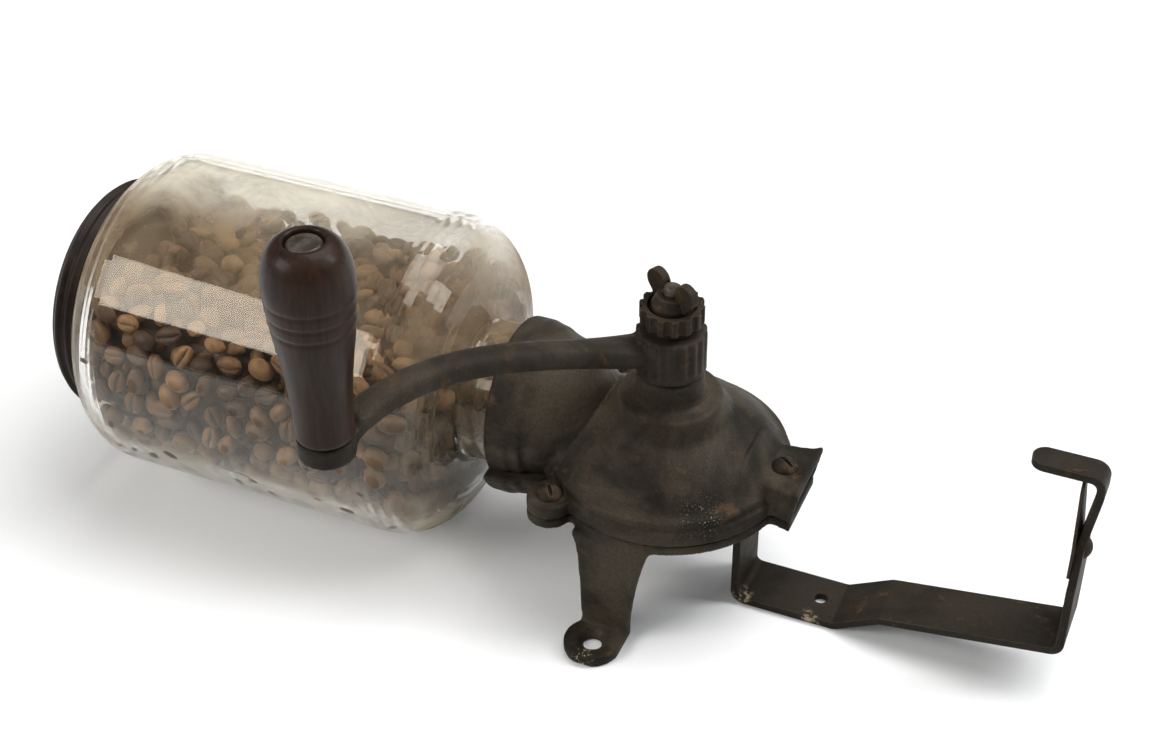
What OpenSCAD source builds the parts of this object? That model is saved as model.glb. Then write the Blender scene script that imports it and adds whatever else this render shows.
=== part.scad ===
// Wall-mounted hand coffee mill, lying on its back as it does on a table.
// The wall plane is z = 0, +Z points away from the wall along the crank axis,
// and +X runs from the glass jar down to the cup bracket. The origin lies on
// the wall plane, midway between the two upper wall-screw holes.
// All sizes are in millimetres.

/* [Glass jar] */
// Outer diameter of the jar
jar_d = 127; // [100:1:150]
// Thickness of the jar's glass wall
jar_wall = 5; // [3:0.5:8]
// Length of the straight part of the jar
jar_body_len = 110; // [70:1:140]
// Radius of the shoulder at the neck end
neck_shoulder_r = 24; // [16:1:30]
// Radius of the shoulder at the mouth end
mouth_shoulder_r = 19; // [12:1:26]
// Outer diameter of the neck that enters the casing
neck_d = 54; // [44:1:58]
// Thickness of the glass in the neck
neck_wall = 6; // [4:0.5:8]
// Length of the neck beyond the shoulder
neck_len = 25; // [20:1:34]
// Outer diameter of the mouth under the cap
mouth_d = 88.6; // [74:0.2:94]
// Thickness of the glass at the mouth
mouth_wall = 5; // [3:0.5:8]
// Length of the mouth beyond the shoulder
mouth_len = 11; // [9:0.5:20]
// Height of the bean fill above the jar's axis, at its middle
bean_level = 27; // [5:1:34]
// Slope of the beans' top, higher towards the handle
bean_tilt = 4.7; // [0:0.1:10]

/* [Jar cap] */
// Largest diameter of the cap, over its rolled beads
cap_d = 95.2; // [80:0.2:104]
// Depth of the cap's skirt
cap_depth = 9.6; // [8:0.2:10]
// Thickness of the cap's sheet
cap_t = 1.2; // [0.8:0.1:2]
// Height of the rolled beads on the skirt
cap_bead_h = 1.4; // [0.6:0.1:1.8]
// Gap between the glass mouth and the cap
cap_gap = 0.6; // [0.3:0.1:1.5]

/* [Casing] */
// Distance from the upper wall holes to the crank axis
crank_x = 8.5; // [0:0.5:20]
// Drop from the jar's axis to the seam between the two castings
seam_drop = 14; // [10:0.5:18]
// Diameter of the casing's rim
rim_d = 92.6; // [80:0.2:104]
// Thickness of the rear plate
plate_t = 4.2; // [3:0.1:6]
// Height of the front casting's rim
rim_h = 6.5; // [4:0.5:9]
// Width of the ledge on top of the rim
rim_ledge = 1.7; // [1:0.1:3]
// Wall of the domed front casting
dome_wall = 4; // [3:0.5:5]
// Height of the dome above the seam
dome_h = 34.7; // [30:0.1:42]
// Radius of the dome's arc
dome_arc_r = 75; // [50:1:120]
// Diameter of the flat at the dome's top
dome_flat_d = 38.2; // [32:0.2:44]
// Diameter of the shaft boss
boss_d = 25; // [20:0.5:30]
// Height of the shaft boss above the dome
boss_h = 11.4; // [8:0.2:16]

/* [Neck collar] */
// Distance from the crank axis to the end of the glass neck
neck_seat = 50.3; // [46:0.1:56]
// Depth of the neck pocket
pocket_depth = 11.7; // [8:0.1:16]
// Gap between the glass neck and its pocket
neck_gap = 0.3; // [0.2:0.05:0.6]
// Wall of the collar round the neck
collar_wall = 4.2; // [3:0.1:6]
// Extra radius of the rear half of the collar
rear_collar_step = 5; // [0:0.1:6]
// Length of the raised band at the collar's end
band_len = 9; // [5:0.5:12]
// Height of the raised band
band_h = 1.2; // [0.5:0.1:2.5]
// Diameter of the ball-shaped feed throat behind the collar
throat_d = 57; // [52:0.5:60]
// Diameter of the passage through the feed throat
passage_d = 27; // [22:0.5:27.5]

/* [Spout] */
// Distance from the crank axis to the spout's mouth
spout_reach = 55.5; // [52:0.5:66]
// Width of the spout's mouth
spout_w = 32; // [26:0.5:38]
// Width of the spout where it leaves the dome
spout_root_w = 25; // [20:0.5:30]
// Height of the spout above the seam
spout_h = 13.6; // [12:0.1:16]
// Wall of the spout
spout_wall = 3; // [2:0.5:4]
// Height of the lip on the spout's mouth
lip_h = 1; // [0.5:0.1:2]
// Length of the lip
lip_len = 3; // [1.5:0.5:5]
// Setback of the spout's mouth at the seam
mouth_rake = 3; // [0:0.5:5]
// Distance from the spout's mouth to its screw
spout_screw_inset = 10.3; // [8:0.1:12]

/* [Lugs and screws] */
// Angle of the lugs from the jar side
lug_angle = 50.5; // [46:0.5:58]
// Distance of the lug screws outside the rim
lug_offset = 3.6; // [2:0.1:6]
// Diameter of the lugs
lug_d = 17; // [14:0.5:20]
// Height of the bump under each lug
lug_bump = 1.2; // [0.5:0.1:2]
// Diameter of the cover screws
screw_d = 4.8; // [3.6:0.1:5.6]
// Diameter of the screws' heads
screw_head_d = 10; // [8:0.1:11]
// Height of the screws' heads
screw_head_h = 3.2; // [2:0.1:4]
// Width of the screwdriver slot
slot_w = 1.4; // [0.8:0.1:2]
// Clearance of the screws in the front casting
screw_gap = 0.3; // [0.1:0.05:0.5]

/* [Legs and feet] */
// Distance between the upper wall holes
foot_spacing = 108; // [98:1:124]
// Diameter of the feet
foot_d = 21.6; // [18:0.2:26]
// Thickness of the feet
foot_t = 4.5; // [3:0.1:6]
// Diameter of the wall-screw holes
foot_hole_d = 6.8; // [5:0.1:8]
// Diameter of the countersinks
sink_d = 12; // [9:0.2:15]
// Straight wall left under the countersink
sink_land = 1.5; // [0.8:0.1:2.5]
// Thickness of the legs
leg_t = 4.6; // [3:0.1:6]
// Width of the legs at the casing
leg_top_w = 30; // [24:0.5:36]
// Width of the legs at the feet
leg_low_w = 18.6; // [14:0.2:22]
// Length of the curve where the legs meet the casing
leg_fillet = 6; // [3:0.5:10]
// Shift of the legs' tops from the wall holes
leg_top_shift = 3.5; // [0:0.5:8]
// Shift of the legs' lower ends from the wall holes
leg_low_shift = 1.4; // [0:0.2:3]

/* [Bracket strap] */
// Width of the strap
strap_w = 22.4; // [16:0.2:26]
// Thickness of the strap
strap_t = 3; // [2:0.1:4]
// Distance from the crank axis to the strap's upright
strap_stand = 32; // [30:0.5:40]
// Length of the flange under the casing
strap_flange = 18; // [16:0.5:20]
// Distance from the upper wall holes to the strap's screw hole
strap_hole_x = 71.4; // [62:0.2:74]
// Diameter of the strap's screw hole
strap_hole_d = 5.2; // [4:0.1:6]
// Where the strap leaves the wall
joggle_x = 79.5; // [78:0.5:90]
// Length of the step off the wall
joggle_len = 17; // [12:0.5:24]
// Height of the step off the wall
joggle_h = 9; // [5:0.5:14]
// Distance from the upper wall holes to the upright's outer face
shelf_x = 163.6; // [140:0.2:190]
// Height of the strap's outer corner off the wall
shelf_low = 18.8; // [14:0.2:26]
// Height of the spring leaf's tip off the wall
leaf_top = 91.5; // [84:0.5:92]
// Inner radius of the strap's bends
strap_bend_r = 2.5; // [1.5:0.5:5]
// Diameter of the rivets
rivet_d = 4; // [3:0.1:5]
// Diameter of the rivets' heads
rivet_head_d = 8; // [6:0.1:10]
// Height of the rivets' heads
rivet_head_h = 2.2; // [1.4:0.1:3]
// Clearance of a rivet in its holes
rivet_gap = 0.05; // [0.02:0.01:0.1]
// Distance between the two strap rivets
rivet_pitch = 12; // [10:0.5:14]

/* [Cup hook and spring leaf] */
// Width of the hook
hook_w = 10; // [7:0.5:12]
// Height at which the upright starts to narrow
neck_down_z = 50; // [44:0.5:54]
// Height at which the upright has narrowed to the hook's width
hook_start_z = 74; // [70:0.5:80]
// Outward step of the hook
hook_step = 3; // [1:0.2:5]
// Height of the hook's top off the wall
hook_top = 97.6; // [94:0.2:106]
// Reach of the hook back over the cup
hook_len = 25; // [14:0.5:30]
// Thickness of the spring leaf
leaf_t = 1; // [0.6:0.1:2]
// Height of the leaf's lower end off the wall
leaf_low = 54; // [50:0.5:56]
// Width of the leaf's tip
leaf_tip_w = 8; // [6:0.5:10]
// Height of the leaf's rivet off the wall
leaf_rivet_z = 62; // [58:0.5:66]
// Inward set of the leaf's tip
leaf_set = 1.4; // [0.5:0.1:4]

/* [Shaft and burrs] */
// Diameter of the shaft in the front boss
shaft_d = 11; // [9:0.5:13]
// Diameter of the shaft's tail
tail_d = 10; // [8:0.5:11]
// Width of the square that drives the crank
square_w = 8; // [6.5:0.1:9]
// Gap between the square and the crank
square_gap = 0.2; // [0.1:0.05:0.4]
// Diameter of the threaded end
thread_d = 6; // [5:0.5:7]
// Running clearance of shafts and pins
run_gap = 0.06; // [0.02:0.01:0.1]
// Travel of the burr when it is adjusted
burr_travel = 1.25; // [0.8:0.05:1.6]
// Depth of the rear bearing boss below the plate
tail_boss_h = 12; // [9:0.5:16]
// Diameter of the rear bearing boss
tail_boss_d = 20; // [16:0.5:24]
// Outer diameter of the fixed burr
burr_d = 65; // [62:0.5:66]
// Height of the fixed burr
burr_h = 12; // [9:0.5:14]
// Height of the fixed burr above the seam
burr_lift = 3.2; // [2:0.1:5]
// Inner diameter of the fixed burr at its open end
burr_wide_d = 58; // [52:0.5:60]
// Inner diameter of the fixed burr at its narrow end
burr_narrow_d = 38; // [34:0.5:42]
// Radial gap between the two burrs at rest
burr_gap = 1.7; // [1.5:0.05:2.5]
// Number of teeth on each burr
burr_teeth = 20; // [12:1:28]
// Depth of the burr teeth
tooth_depth = 1.4; // [0.8:0.1:2]
// Diameter of the turning burr's hub
burr_hub_d = 20; // [17:0.5:24]
// Height of the hub above the turning burr
burr_hub_h = 9; // [7:0.5:11]
// Diameter of the pin that holds the turning burr
burr_pin_d = 3; // [2:0.1:4]

/* [Crank] */
// Distance from the crank axis to the handle
crank_r = 142.9; // [110:0.5:170]
// Direction of the crank, counted from the +X axis
crank_angle = 241.6; // [181:0.1:269]
// Clearance of the crank's end over the jar
crank_clear = 4; // [3:0.5:10]
// Diameter of the crank's hub
hub_d = 26; // [22:0.5:30]
// Height of the crank's hub
hub_h = 17.4; // [14:0.2:22]
// Gap between turning faces
face_gap = 0.3; // [0.2:0.05:0.5]
// Number of flutes round the hub
hub_flutes = 18; // [8:1:24]
// Radius of the flutes
flute_r = 1.4; // [0.8:0.1:2]
// Width of the arm at mid length
arm_w = 11; // [8:0.5:14]
// Thickness of the arm at mid length
arm_t = 9.6; // [7:0.2:11]
// Width of the arm at the hub
arm_root_w = 17; // [12:0.5:20]
// Sideways bow of the arm
arm_bow = 7; // [0:0.5:12]
// Height of the arm's arch over its end
arm_arch = 15; // [8:0.5:20]
// Diameter of the eye under the handle
eye_d = 18.8; // [16:0.2:24]
// Height of the eye
eye_h = 7.4; // [6:0.2:12]

/* [Handle] */
// Length of the wooden grip
grip_len = 73.2; // [60:0.2:90]
// Diameter of the grip at its foot
grip_low_d = 19.2; // [17:0.2:22]
// Largest diameter of the grip
grip_d = 28.8; // [24:0.2:34]
// Radius of the three turned grooves
groove_r = 0.8; // [0.4:0.1:1.2]
// Diameter of the handle pin
pin_d = 6; // [5:0.1:7]
// Diameter of the pin's head
pin_head_d = 11.2; // [9:0.2:13]
// Height of the pin's head
pin_head_h = 2.4; // [1.5:0.1:4]
// Depth of the recess for the pin's head
pin_recess = 3.4; // [2.5:0.1:6]
// Gap round the pin's head
pin_head_gap = 0.6; // [0.3:0.1:1.2]

/* [Adjusting nuts] */
// Diameter of the scalloped ring
ring_d = 23.4; // [20:0.2:27]
// Height of the scalloped ring
ring_h = 6.3; // [5:0.1:8]
// Number of scallops
ring_scallops = 14; // [8:1:20]
// Radius of each scallop
scallop_r = 1.7; // [1:0.1:2.2]
// Diameter of the neck under the ring
ring_neck_d = 17; // [15:0.2:19]
// Height of the neck under the ring
ring_neck_h = 3.6; // [2:0.1:6]
// Diameter of the recess in the ring
ring_recess_d = 18; // [17:0.2:19]
// Depth of the recess in the ring
ring_recess = 3.5; // [2:0.1:4.5]
// Diameter of the wing nut's base
wing_base_d = 15.2; // [12:0.2:16]
// Height of the wing nut's base
wing_base_h = 6; // [4:0.2:8]
// Radius of each wing
wing_r = 4.6; // [3:0.1:6]
// Distance from the axis to the centre of each wing
wing_out = 7.2; // [4.5:0.1:8]
// Thickness of the wings
wing_t = 3; // [2:0.1:4]
// Direction of the wings, counted from the +X axis
wing_angle = -27; // [-90:1:90]
// Height of the shaft's end above the wing nut's base
thread_over = 3.4; // [1:0.2:6]

/* [Hidden] */
$fn = 72;

// Heights of the jar's axis and of the seam
axis_z = jar_d / 2;
seam_z = axis_z - seam_drop;

// Stations along the jar, counted from the neck to the mouth
neck_end = crank_x - neck_seat;
neck_face = neck_end - neck_len;
body_hi = neck_face - neck_shoulder_r;
body_lo = body_hi - jar_body_len;
mouth_face = body_lo - mouth_shoulder_r;
mouth_end = mouth_face - mouth_len;

// Radii of the jar
jar_r = jar_d / 2;
jar_in = jar_r - jar_wall;
neck_r = neck_d / 2;
mouth_r = mouth_d / 2;
fit_gap = 0.3;

// Casing
rim_r = rim_d / 2;
dome_foot_r = rim_r - rim_ledge;
dome_foot_z = seam_z + rim_h;
flange_h = rim_h - 0.8;
flange_top = seam_z + flange_h;
dome_top_z = seam_z + dome_h;
dome_flat_r = dome_flat_d / 2;
boss_top = dome_top_z + boss_h;
plate_z = seam_z - plate_t;

// Collar and feed throat
pocket_r = neck_r + neck_gap;
collar_r = pocket_r + collar_wall;
collar_end = neck_end - pocket_depth;
pocket_floor = neck_end + neck_gap;
throat_x = pocket_floor + 1;

// Spout
spout_end = crank_x + spout_reach;
spout_top = seam_z + spout_h;
spout_screw_x = spout_end - spout_screw_inset;
spout_post_r = screw_d / 2 + screw_gap + 2.2;

// Lugs
lug_r = rim_r + lug_offset;
lug_x = crank_x - lug_r * cos(lug_angle);
lug_y = lug_r * sin(lug_angle);

// Feet and legs
foot_y = foot_spacing / 2;

// Strap route, along the middle of the strip
stand_x = crank_x + strap_stand;
flange_z = plate_z - strap_t / 2;
flange_x = stand_x - strap_flange;
shelf_mid = shelf_x - strap_t / 2;
strap_route = [[flange_x, flange_z], [stand_x, flange_z], [stand_x, strap_t / 2],
  [joggle_x, strap_t / 2], [joggle_x + joggle_len, joggle_h + strap_t / 2],
  [shelf_mid, shelf_low + strap_t / 2], [shelf_mid, leaf_rivet_z + rivet_head_d / 2],
  [shelf_mid + hook_step, hook_top - 6 * strap_t / 2], [shelf_mid + hook_step, hook_top - strap_t / 2],
  [shelf_mid + hook_step - hook_len + hook_w / 2, hook_top - strap_t / 2]];
strap_rivet_x = flange_x + rivet_head_d / 2 + 1.5;
hook_end = shelf_mid + hook_step - hook_len + hook_w / 2;

// Spring leaf route, along the middle of the leaf
leaf_x = shelf_x - strap_t - leaf_t / 2;
leaf_route = [[leaf_x, leaf_low], [leaf_x, leaf_rivet_z + rivet_head_d / 2], [leaf_x - leaf_set, leaf_top]];

// Hub stack along the crank axis
hub_z = boss_top + face_gap;
hub_top = hub_z + hub_h;
nut_z = hub_top + face_gap;
ring_z = nut_z + ring_neck_h;
ring_top = ring_z + ring_h;
recess_z = ring_top - ring_recess;
wing_z = recess_z + burr_travel + 0.6;
wing_top = wing_z + wing_base_h;
thread_top = wing_top + thread_over;
square_top = hub_top - burr_travel - 0.6;
square_low = hub_z - burr_travel - 0.4;

// Shaft tail and burrs
tail_boss_z = plate_z - tail_boss_h;
tail_bore_z = tail_boss_z + 3;
tail_z = tail_bore_z + 0.8;
tail_top = seam_z + 0.4;
burr_z = seam_z + burr_lift;
burr_top = burr_z + burr_h;
burr_seat_r = burr_d / 2 + 0.05;

// Crank and handle
eye_z = jar_d + crank_clear;
eye_top = eye_z + eye_h;
grip_z = eye_top + face_gap;
grip_top = grip_z + grip_len;
pin_bore_r = pin_d / 2 + run_gap;

// Point on a cubic curve
function cubic(a, b, c, d, t) =
  pow(1 - t, 3) * a + 3 * pow(1 - t, 2) * t * b + 3 * (1 - t) * t * t * c + t * t * t * d;

// Points along a cubic curve
function curve(a, b, c, d, n) = [for (i = [0:n]) cubic(a, b, c, d, i / n)];

// Points along an arc
function arc(c, r, from, to, n) =
  [for (i = [0:n]) let (a = from + (to - from) * i / n) c + r * [cos(a), sin(a)]];

function unit(v) = v / norm(v);
function left_of(v) = [-v[1], v[0]];

// Route with each inner corner rounded to the given radius
function corner_points(p, q, s, r, n) =
  let (u = unit(p - q), v = unit(s - q), half = acos(u * v) / 2)
  half > 88 ? [q] :
  let (reach = r / tan(half), c = q + unit(u + v) * r / sin(half))
  let (a = q + u * reach - c, b = q + v * reach - c)
  let (a0 = atan2(a[1], a[0]), turn = atan2(a[0] * b[1] - a[1] * b[0], a * b))
  arc(c, r, a0, a0 + turn, n);
function rounded(route, r, n) = [for (i = [0:len(route) - 1])
  each (i == 0 || i == len(route) - 1) ? [route[i]] :
  corner_points(route[i - 1], route[i], route[i + 1], r, n)];

// Direction of a route at one of its points
function heading(route, i) =
  i == 0 ? unit(route[1] - route[0]) :
  i == len(route) - 1 ? unit(route[i] - route[i - 1]) :
  unit(unit(route[i] - route[i - 1]) + unit(route[i + 1] - route[i]));

// Outline of a strip of thickness t along a route
function strip(route, t) = concat(
  [for (i = [0:len(route) - 1]) route[i] + left_of(heading(route, i)) * t / 2],
  [for (i = [len(route) - 1:-1:0]) route[i] - left_of(heading(route, i)) * t / 2]);

// Centre of the arc of radius r from a to b that bulges to the left
function arc_centre(a, b, r) =
  let (m = (a + b) / 2, h = norm(b - a) / 2)
  m + left_of(unit(b - a)) * sqrt(r * r - h * h);

// Revolves a profile of [radius, x] about the jar's axis
module about_jar_axis() {
  translate([0, 0, axis_z]) rotate([0, 90, 0]) rotate_extrude($fn = 96) children();
}

// Revolves a profile of [radius, z] about the crank axis
module about_crank_axis() {
  translate([crank_x, 0, 0]) rotate_extrude($fn = 96) children();
}

// Extrudes an [x, z] outline across the part
module across(w) {
  rotate([90, 0, 0]) linear_extrude(height = w, center = true) children();
}

// Half spaces above and below the seam
module above_seam() {
  translate([-150, -100, seam_z]) cube([300, 200, 100]);
}
module below_seam() {
  translate([-150, -100, seam_z - 100]) cube([300, 200, 100]);
}

// Outer wall of the jar from the neck to the mouth, as [radius, x]
jar_outer = concat(
  [[neck_r - 1, neck_end], [neck_r, neck_end - 1]],
  arc([neck_r + 4, neck_face + 4.6], 4, 180, 262, 5),
  arc([jar_r - neck_shoulder_r, body_hi], neck_shoulder_r, 88, 0, 10),
  arc([jar_r - mouth_shoulder_r, body_lo], mouth_shoulder_r, 0, -66, 8),
  arc([mouth_r + 3, mouth_face - 3], 3, 110, 180, 4),
  [[mouth_r, mouth_end + 1], [mouth_r - 1, mouth_end]]);

// Inner wall of the jar from the mouth to the neck, as [radius, x]
neck_in = neck_r - neck_wall;
mouth_in = mouth_r - mouth_wall;
shoulder_in = neck_shoulder_r - jar_wall;
mouth_sh_in = mouth_shoulder_r - jar_wall;
jar_inner = concat(
  [[mouth_in, mouth_end], [mouth_in, mouth_face]],
  arc([jar_in - mouth_sh_in, body_lo], mouth_sh_in, -66, 0, 8),
  arc([jar_in - shoulder_in, body_hi], shoulder_in, 0, 88, 10),
  arc([neck_in + 4, neck_face - jar_wall + 4.6], 4, 262, 180, 5),
  [[neck_in, neck_end]]);

module glass_jar() {
  color([0.80, 0.84, 0.82, 0.35])
  about_jar_axis() polygon(concat(jar_outer, jar_inner));
}

// Roasted beans that settle in the lying jar
module bean_fill() {
  bean_r = jar_in - fit_gap;
  lo_r = mouth_sh_in - fit_gap;
  hi_r = shoulder_in - fit_gap;
  profile = concat(
    [[0, body_lo - lo_r * sin(66)]],
    arc([jar_in - mouth_sh_in, body_lo], lo_r, -66, 0, 8),
    arc([jar_in - shoulder_in, body_hi], hi_r, 0, 88, 10),
    [[0, body_hi + hi_r * sin(88)]]);
  color([0.32, 0.18, 0.10])
  intersection() {
    about_jar_axis() polygon(profile);
    translate([body_lo - 2 * lo_r, 0, axis_z + bean_level])
    rotate([-bean_tilt, 0, 0])
    translate([0, -jar_d, -2 * jar_d])
    cube([jar_body_len + 2 * lo_r + 2 * hi_r, 2 * jar_d, 2 * jar_d]);
  }
}

// Sheet-metal screw cap with two rolled beads and a shallow sunk top
module jar_cap() {
  in_r = mouth_r + cap_gap;
  base_r = in_r + cap_t;
  bead_r = cap_d / 2;
  top = mouth_end - cap_gap - cap_t;
  rim = top + cap_depth;
  bead = cap_depth / 4;
  wave = [for (i = [0:24]) let (s = i / 24)
    [bead_r - cap_bead_h * (1 - sin(s * 360 * 2 - 90)) / 2 , top + 1.2 + s * (cap_depth - 1.2)]];
  color([0.10, 0.07, 0.06])
  about_jar_axis() polygon(concat(
    [[0, top + 0.8], [in_r - 6, top + 0.8], [in_r - 5, top], [base_r - 1.2, top]],
    wave,
    [[in_r, rim], [in_r, top + cap_t], [0, top + cap_t + 0.8]]));
}

// Domed wall of the front casting, thinned by the given inset
module dome_profile(inset) {
  a = [dome_flat_r, dome_top_z];
  b = [dome_foot_r, dome_foot_z];
  c = arc_centre(b, a, dome_arc_r);
  union() {
    polygon([[0, seam_z], [dome_foot_r - inset, seam_z], [dome_foot_r - inset, dome_foot_z - inset],
      [dome_flat_r, dome_foot_z - inset], [dome_flat_r, dome_top_z - inset], [0, dome_top_z - inset]]);
    intersection() {
      translate(c) circle(r = dome_arc_r - inset, $fn = 96);
      translate([0, dome_foot_z - inset])
      square([dome_foot_r - inset, dome_top_z - dome_foot_z]);
    }
  }
}

module dome_outer() {
  about_crank_axis() {
    dome_profile(0);
    translate([0, seam_z]) square([rim_r, flange_h]);
  }
}

// Bead at the foot of the dome
module dome_bead() {
  about_crank_axis() translate([dome_foot_r - 1, dome_foot_z + 2]) circle(r = 1.5, $fn = 32);
}

// Boss for the shaft, with a fillet at its foot
module shaft_boss() {
  foot = 3;
  about_crank_axis() {
    difference() {
      translate([0, dome_top_z - 1]) square([boss_d / 2 + foot, foot + 1]);
      translate([boss_d / 2 + foot, dome_top_z + foot]) circle(r = foot, $fn = 48);
    }
    translate([0, dome_top_z]) square([boss_d / 2, boss_h - 1]);
    polygon([[0, boss_top - 1], [boss_d / 2, boss_top - 1], [boss_d / 2 - 1, boss_top], [0, boss_top]]);
  }
}

module dome_inner() {
  about_crank_axis() dome_profile(dome_wall);
}

// Collar round the glass neck and the feed throat behind it
module collar_outer(step) {
  about_jar_axis() {
    polygon([[0, collar_end], [collar_r + step - 0.8, collar_end], [collar_r + step, collar_end + 0.8],
      [collar_r + step, collar_end + band_len - 0.6],
      [collar_r + step - 0.6, collar_end + band_len], [0, collar_end + band_len]]);
    translate([0, collar_end + 1]) square([collar_r - band_h + step, throat_x - collar_end]);
    intersection() {
      translate([0, throat_x]) circle(d = throat_d + 2 * step, $fn = 96);
      translate([0, throat_x - 1]) square(throat_d);
    }
  }
}

module collar_inner() {
  about_jar_axis() {
    translate([0, collar_end - 1]) square([pocket_r, pocket_floor - collar_end + 1]);
    translate([0, pocket_floor - 1]) square([passage_d / 2, crank_x - burr_narrow_d / 2 - 8 - pocket_floor + 1]);
  }
}

// Plan of the flared spout, drawn in by the given inset
module spout_plan(inset, past) {
  root = crank_x + 30;
  side = curve([root, spout_root_w / 2 - inset], [root + 10, spout_root_w / 2 - inset],
    [spout_end - 8, spout_root_w / 2 - inset], [spout_end, spout_w / 2 - inset], 8);
  polygon(concat(side, [[spout_end + past, spout_w / 2 - inset], [spout_end + past, inset - spout_w / 2]],
    [for (i = [len(side) - 1:-1:0]) [side[i][0], -side[i][1]]]));
}

module spout_outer() {
  intersection() {
    translate([0, 0, seam_z]) linear_extrude(height = spout_h + lip_h) spout_plan(0, 0);
    union() {
      translate([crank_x, -spout_w, seam_z]) cube([spout_reach - 2 * lip_len, 2 * spout_w, spout_h]);
      across(2 * spout_w)
      polygon([[spout_end - 3 * lip_len, seam_z], [spout_end - mouth_rake, seam_z], [spout_end, spout_top + lip_h],
        [spout_end - lip_len, spout_top], [spout_end - 3 * lip_len, spout_top]]);
    }
  }
}

module spout_inner() {
  translate([0, 0, seam_z - 0.01]) linear_extrude(height = spout_h - spout_wall) spout_plan(spout_wall, 1);
}

module lug_pair(z, h, d) {
  for (s = [-1, 1]) translate([lug_x, s * lug_y, z]) cylinder(d = d, h = h);
}

// Domed front casting with its shaft boss, half collar, lugs and spout
module front_cover() {
  color([0.22, 0.19, 0.17])
  difference() {
    union() {
      difference() {
        union() {
          dome_outer();
          intersection() {
            collar_outer(0);
            above_seam();
          }
          shaft_boss();
          dome_bead();
          lug_pair(seam_z, flange_h, lug_d);
          spout_outer();
        }
        union() {
          dome_inner();
          collar_inner();
          spout_inner();
        }
      }
      // Seat that holds the fixed burr inside the dome
      difference() {
        intersection() {
          about_crank_axis() dome_profile(dome_wall - 0.5);
          translate([crank_x, 0, burr_top - 5]) cylinder(d = rim_d, h = 6.5);
        }
        translate([crank_x, 0, burr_z]) cylinder(r = burr_seat_r, h = burr_h + face_gap);
        translate([crank_x, 0, burr_z]) cylinder(d = burr_narrow_d + 8, h = burr_h + 10);
        spout_inner();
        collar_inner();
      }
      // Post for the screw in the spout
      translate([spout_screw_x, 0, seam_z]) cylinder(r = spout_post_r, h = spout_h);
    }
    translate([crank_x, 0, dome_top_z - 20]) cylinder(d = shaft_d + 2 * run_gap, h = boss_h + 40);
    lug_pair(seam_z - 1, flange_h + 2, screw_d + 2 * screw_gap);
    translate([spout_screw_x, 0, seam_z - 1]) cylinder(d = screw_d + 2 * screw_gap, h = spout_h + 3);
  }
}

// One leg with its foot, on the side that s gives
module leg(s) {
  knee = foot_t + 1.5;
  top = plate_z + plate_t / 2;
  low = leg_low_w / 2;
  high = leg_top_w / 2;
  right = curve([leg_low_shift + low, knee], [leg_low_shift + low + 1, knee + 16],
    [leg_top_shift + high - 3, plate_z - leg_fillet], [leg_top_shift + high, plate_z], 8);
  left = curve([leg_top_shift - high, plate_z], [leg_top_shift - high + 3, plate_z - leg_fillet],
    [leg_low_shift - low - 1, knee + 16], [leg_low_shift - low, knee], 8);
  outline = concat(right, [[leg_top_shift + high, top], [leg_top_shift - high, top]], left,
    [[leg_low_shift - low, 0], [leg_low_shift + low, 0]]);
  translate([0, s * (rim_r - leg_t / 2), 0]) across(leg_t) polygon(outline);
  translate([0, s * foot_y, 0]) cylinder(d = foot_d, h = foot_t);
  translate([leg_low_shift - low, s > 0 ? rim_r - leg_t : -foot_y, 0])
  cube([leg_low_w, foot_y - rim_r + leg_t, foot_t]);
}

module foot_hole(s) {
  translate([0, s * foot_y, -1]) cylinder(d = foot_hole_d, h = foot_t + 2);
  translate([0, s * foot_y, sink_land])
  cylinder(d1 = foot_hole_d, d2 = sink_d, h = foot_t - sink_land + 0.01);
}

// Rear casting with the wall legs, half collar, lugs, tail bearing and spout floor
module rear_casing() {
  color([0.24, 0.20, 0.18])
  difference() {
    union() {
      translate([crank_x, 0, plate_z]) cylinder(r = rim_r, h = plate_t);
      intersection() {
        collar_outer(rear_collar_step);
        below_seam();
      }
      lug_pair(plate_z, plate_t, lug_d);
      lug_pair(plate_z - lug_bump, lug_bump + 1, lug_d / 2);
      intersection() {
        translate([0, 0, plate_z]) linear_extrude(height = plate_t) spout_plan(0, 0);
        translate([crank_x, -spout_w, plate_z]) cube([spout_reach - lip_len, 2 * spout_w, plate_t]);
      }
      translate([crank_x, 0, tail_boss_z]) cylinder(d = tail_boss_d, h = tail_boss_h + 1);
      leg(-1);
      leg(1);
    }
    collar_inner();
    translate([crank_x, 0, tail_bore_z]) cylinder(d = tail_d + 2 * run_gap, h = 60);
    for (s = [-1, 1]) {
      foot_hole(s);
      translate([strap_rivet_x, s * rivet_pitch / 2, plate_z - 1])
      cylinder(d = rivet_d + 2 * rivet_gap, h = plate_t + 2);
    }
    lug_pair(plate_z - lug_bump - 1, plate_t + lug_bump + 2, screw_d + 2 * rivet_gap);
    translate([spout_screw_x, 0, plate_z - 1]) cylinder(d = screw_d + 2 * rivet_gap, h = plate_t + 2);
  }
}

// Slotted round-head screw standing at z with its shank below
module round_screw(z, shank) {
  ball = (pow(screw_head_d / 2, 2) + pow(screw_head_h, 2)) / (2 * screw_head_h);
  color([0.26, 0.22, 0.19])
  difference() {
    union() {
      translate([0, 0, z - shank]) cylinder(d = screw_d, h = shank + 0.1);
      intersection() {
        translate([0, 0, z + screw_head_h - ball]) sphere(r = ball);
        translate([0, 0, z]) cylinder(d = screw_head_d, h = screw_head_h + 1);
      }
    }
    translate([-slot_w / 2, -screw_head_d, z + screw_head_h / 2]) cube([slot_w, 2 * screw_head_d, screw_head_h]);
  }
}

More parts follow.
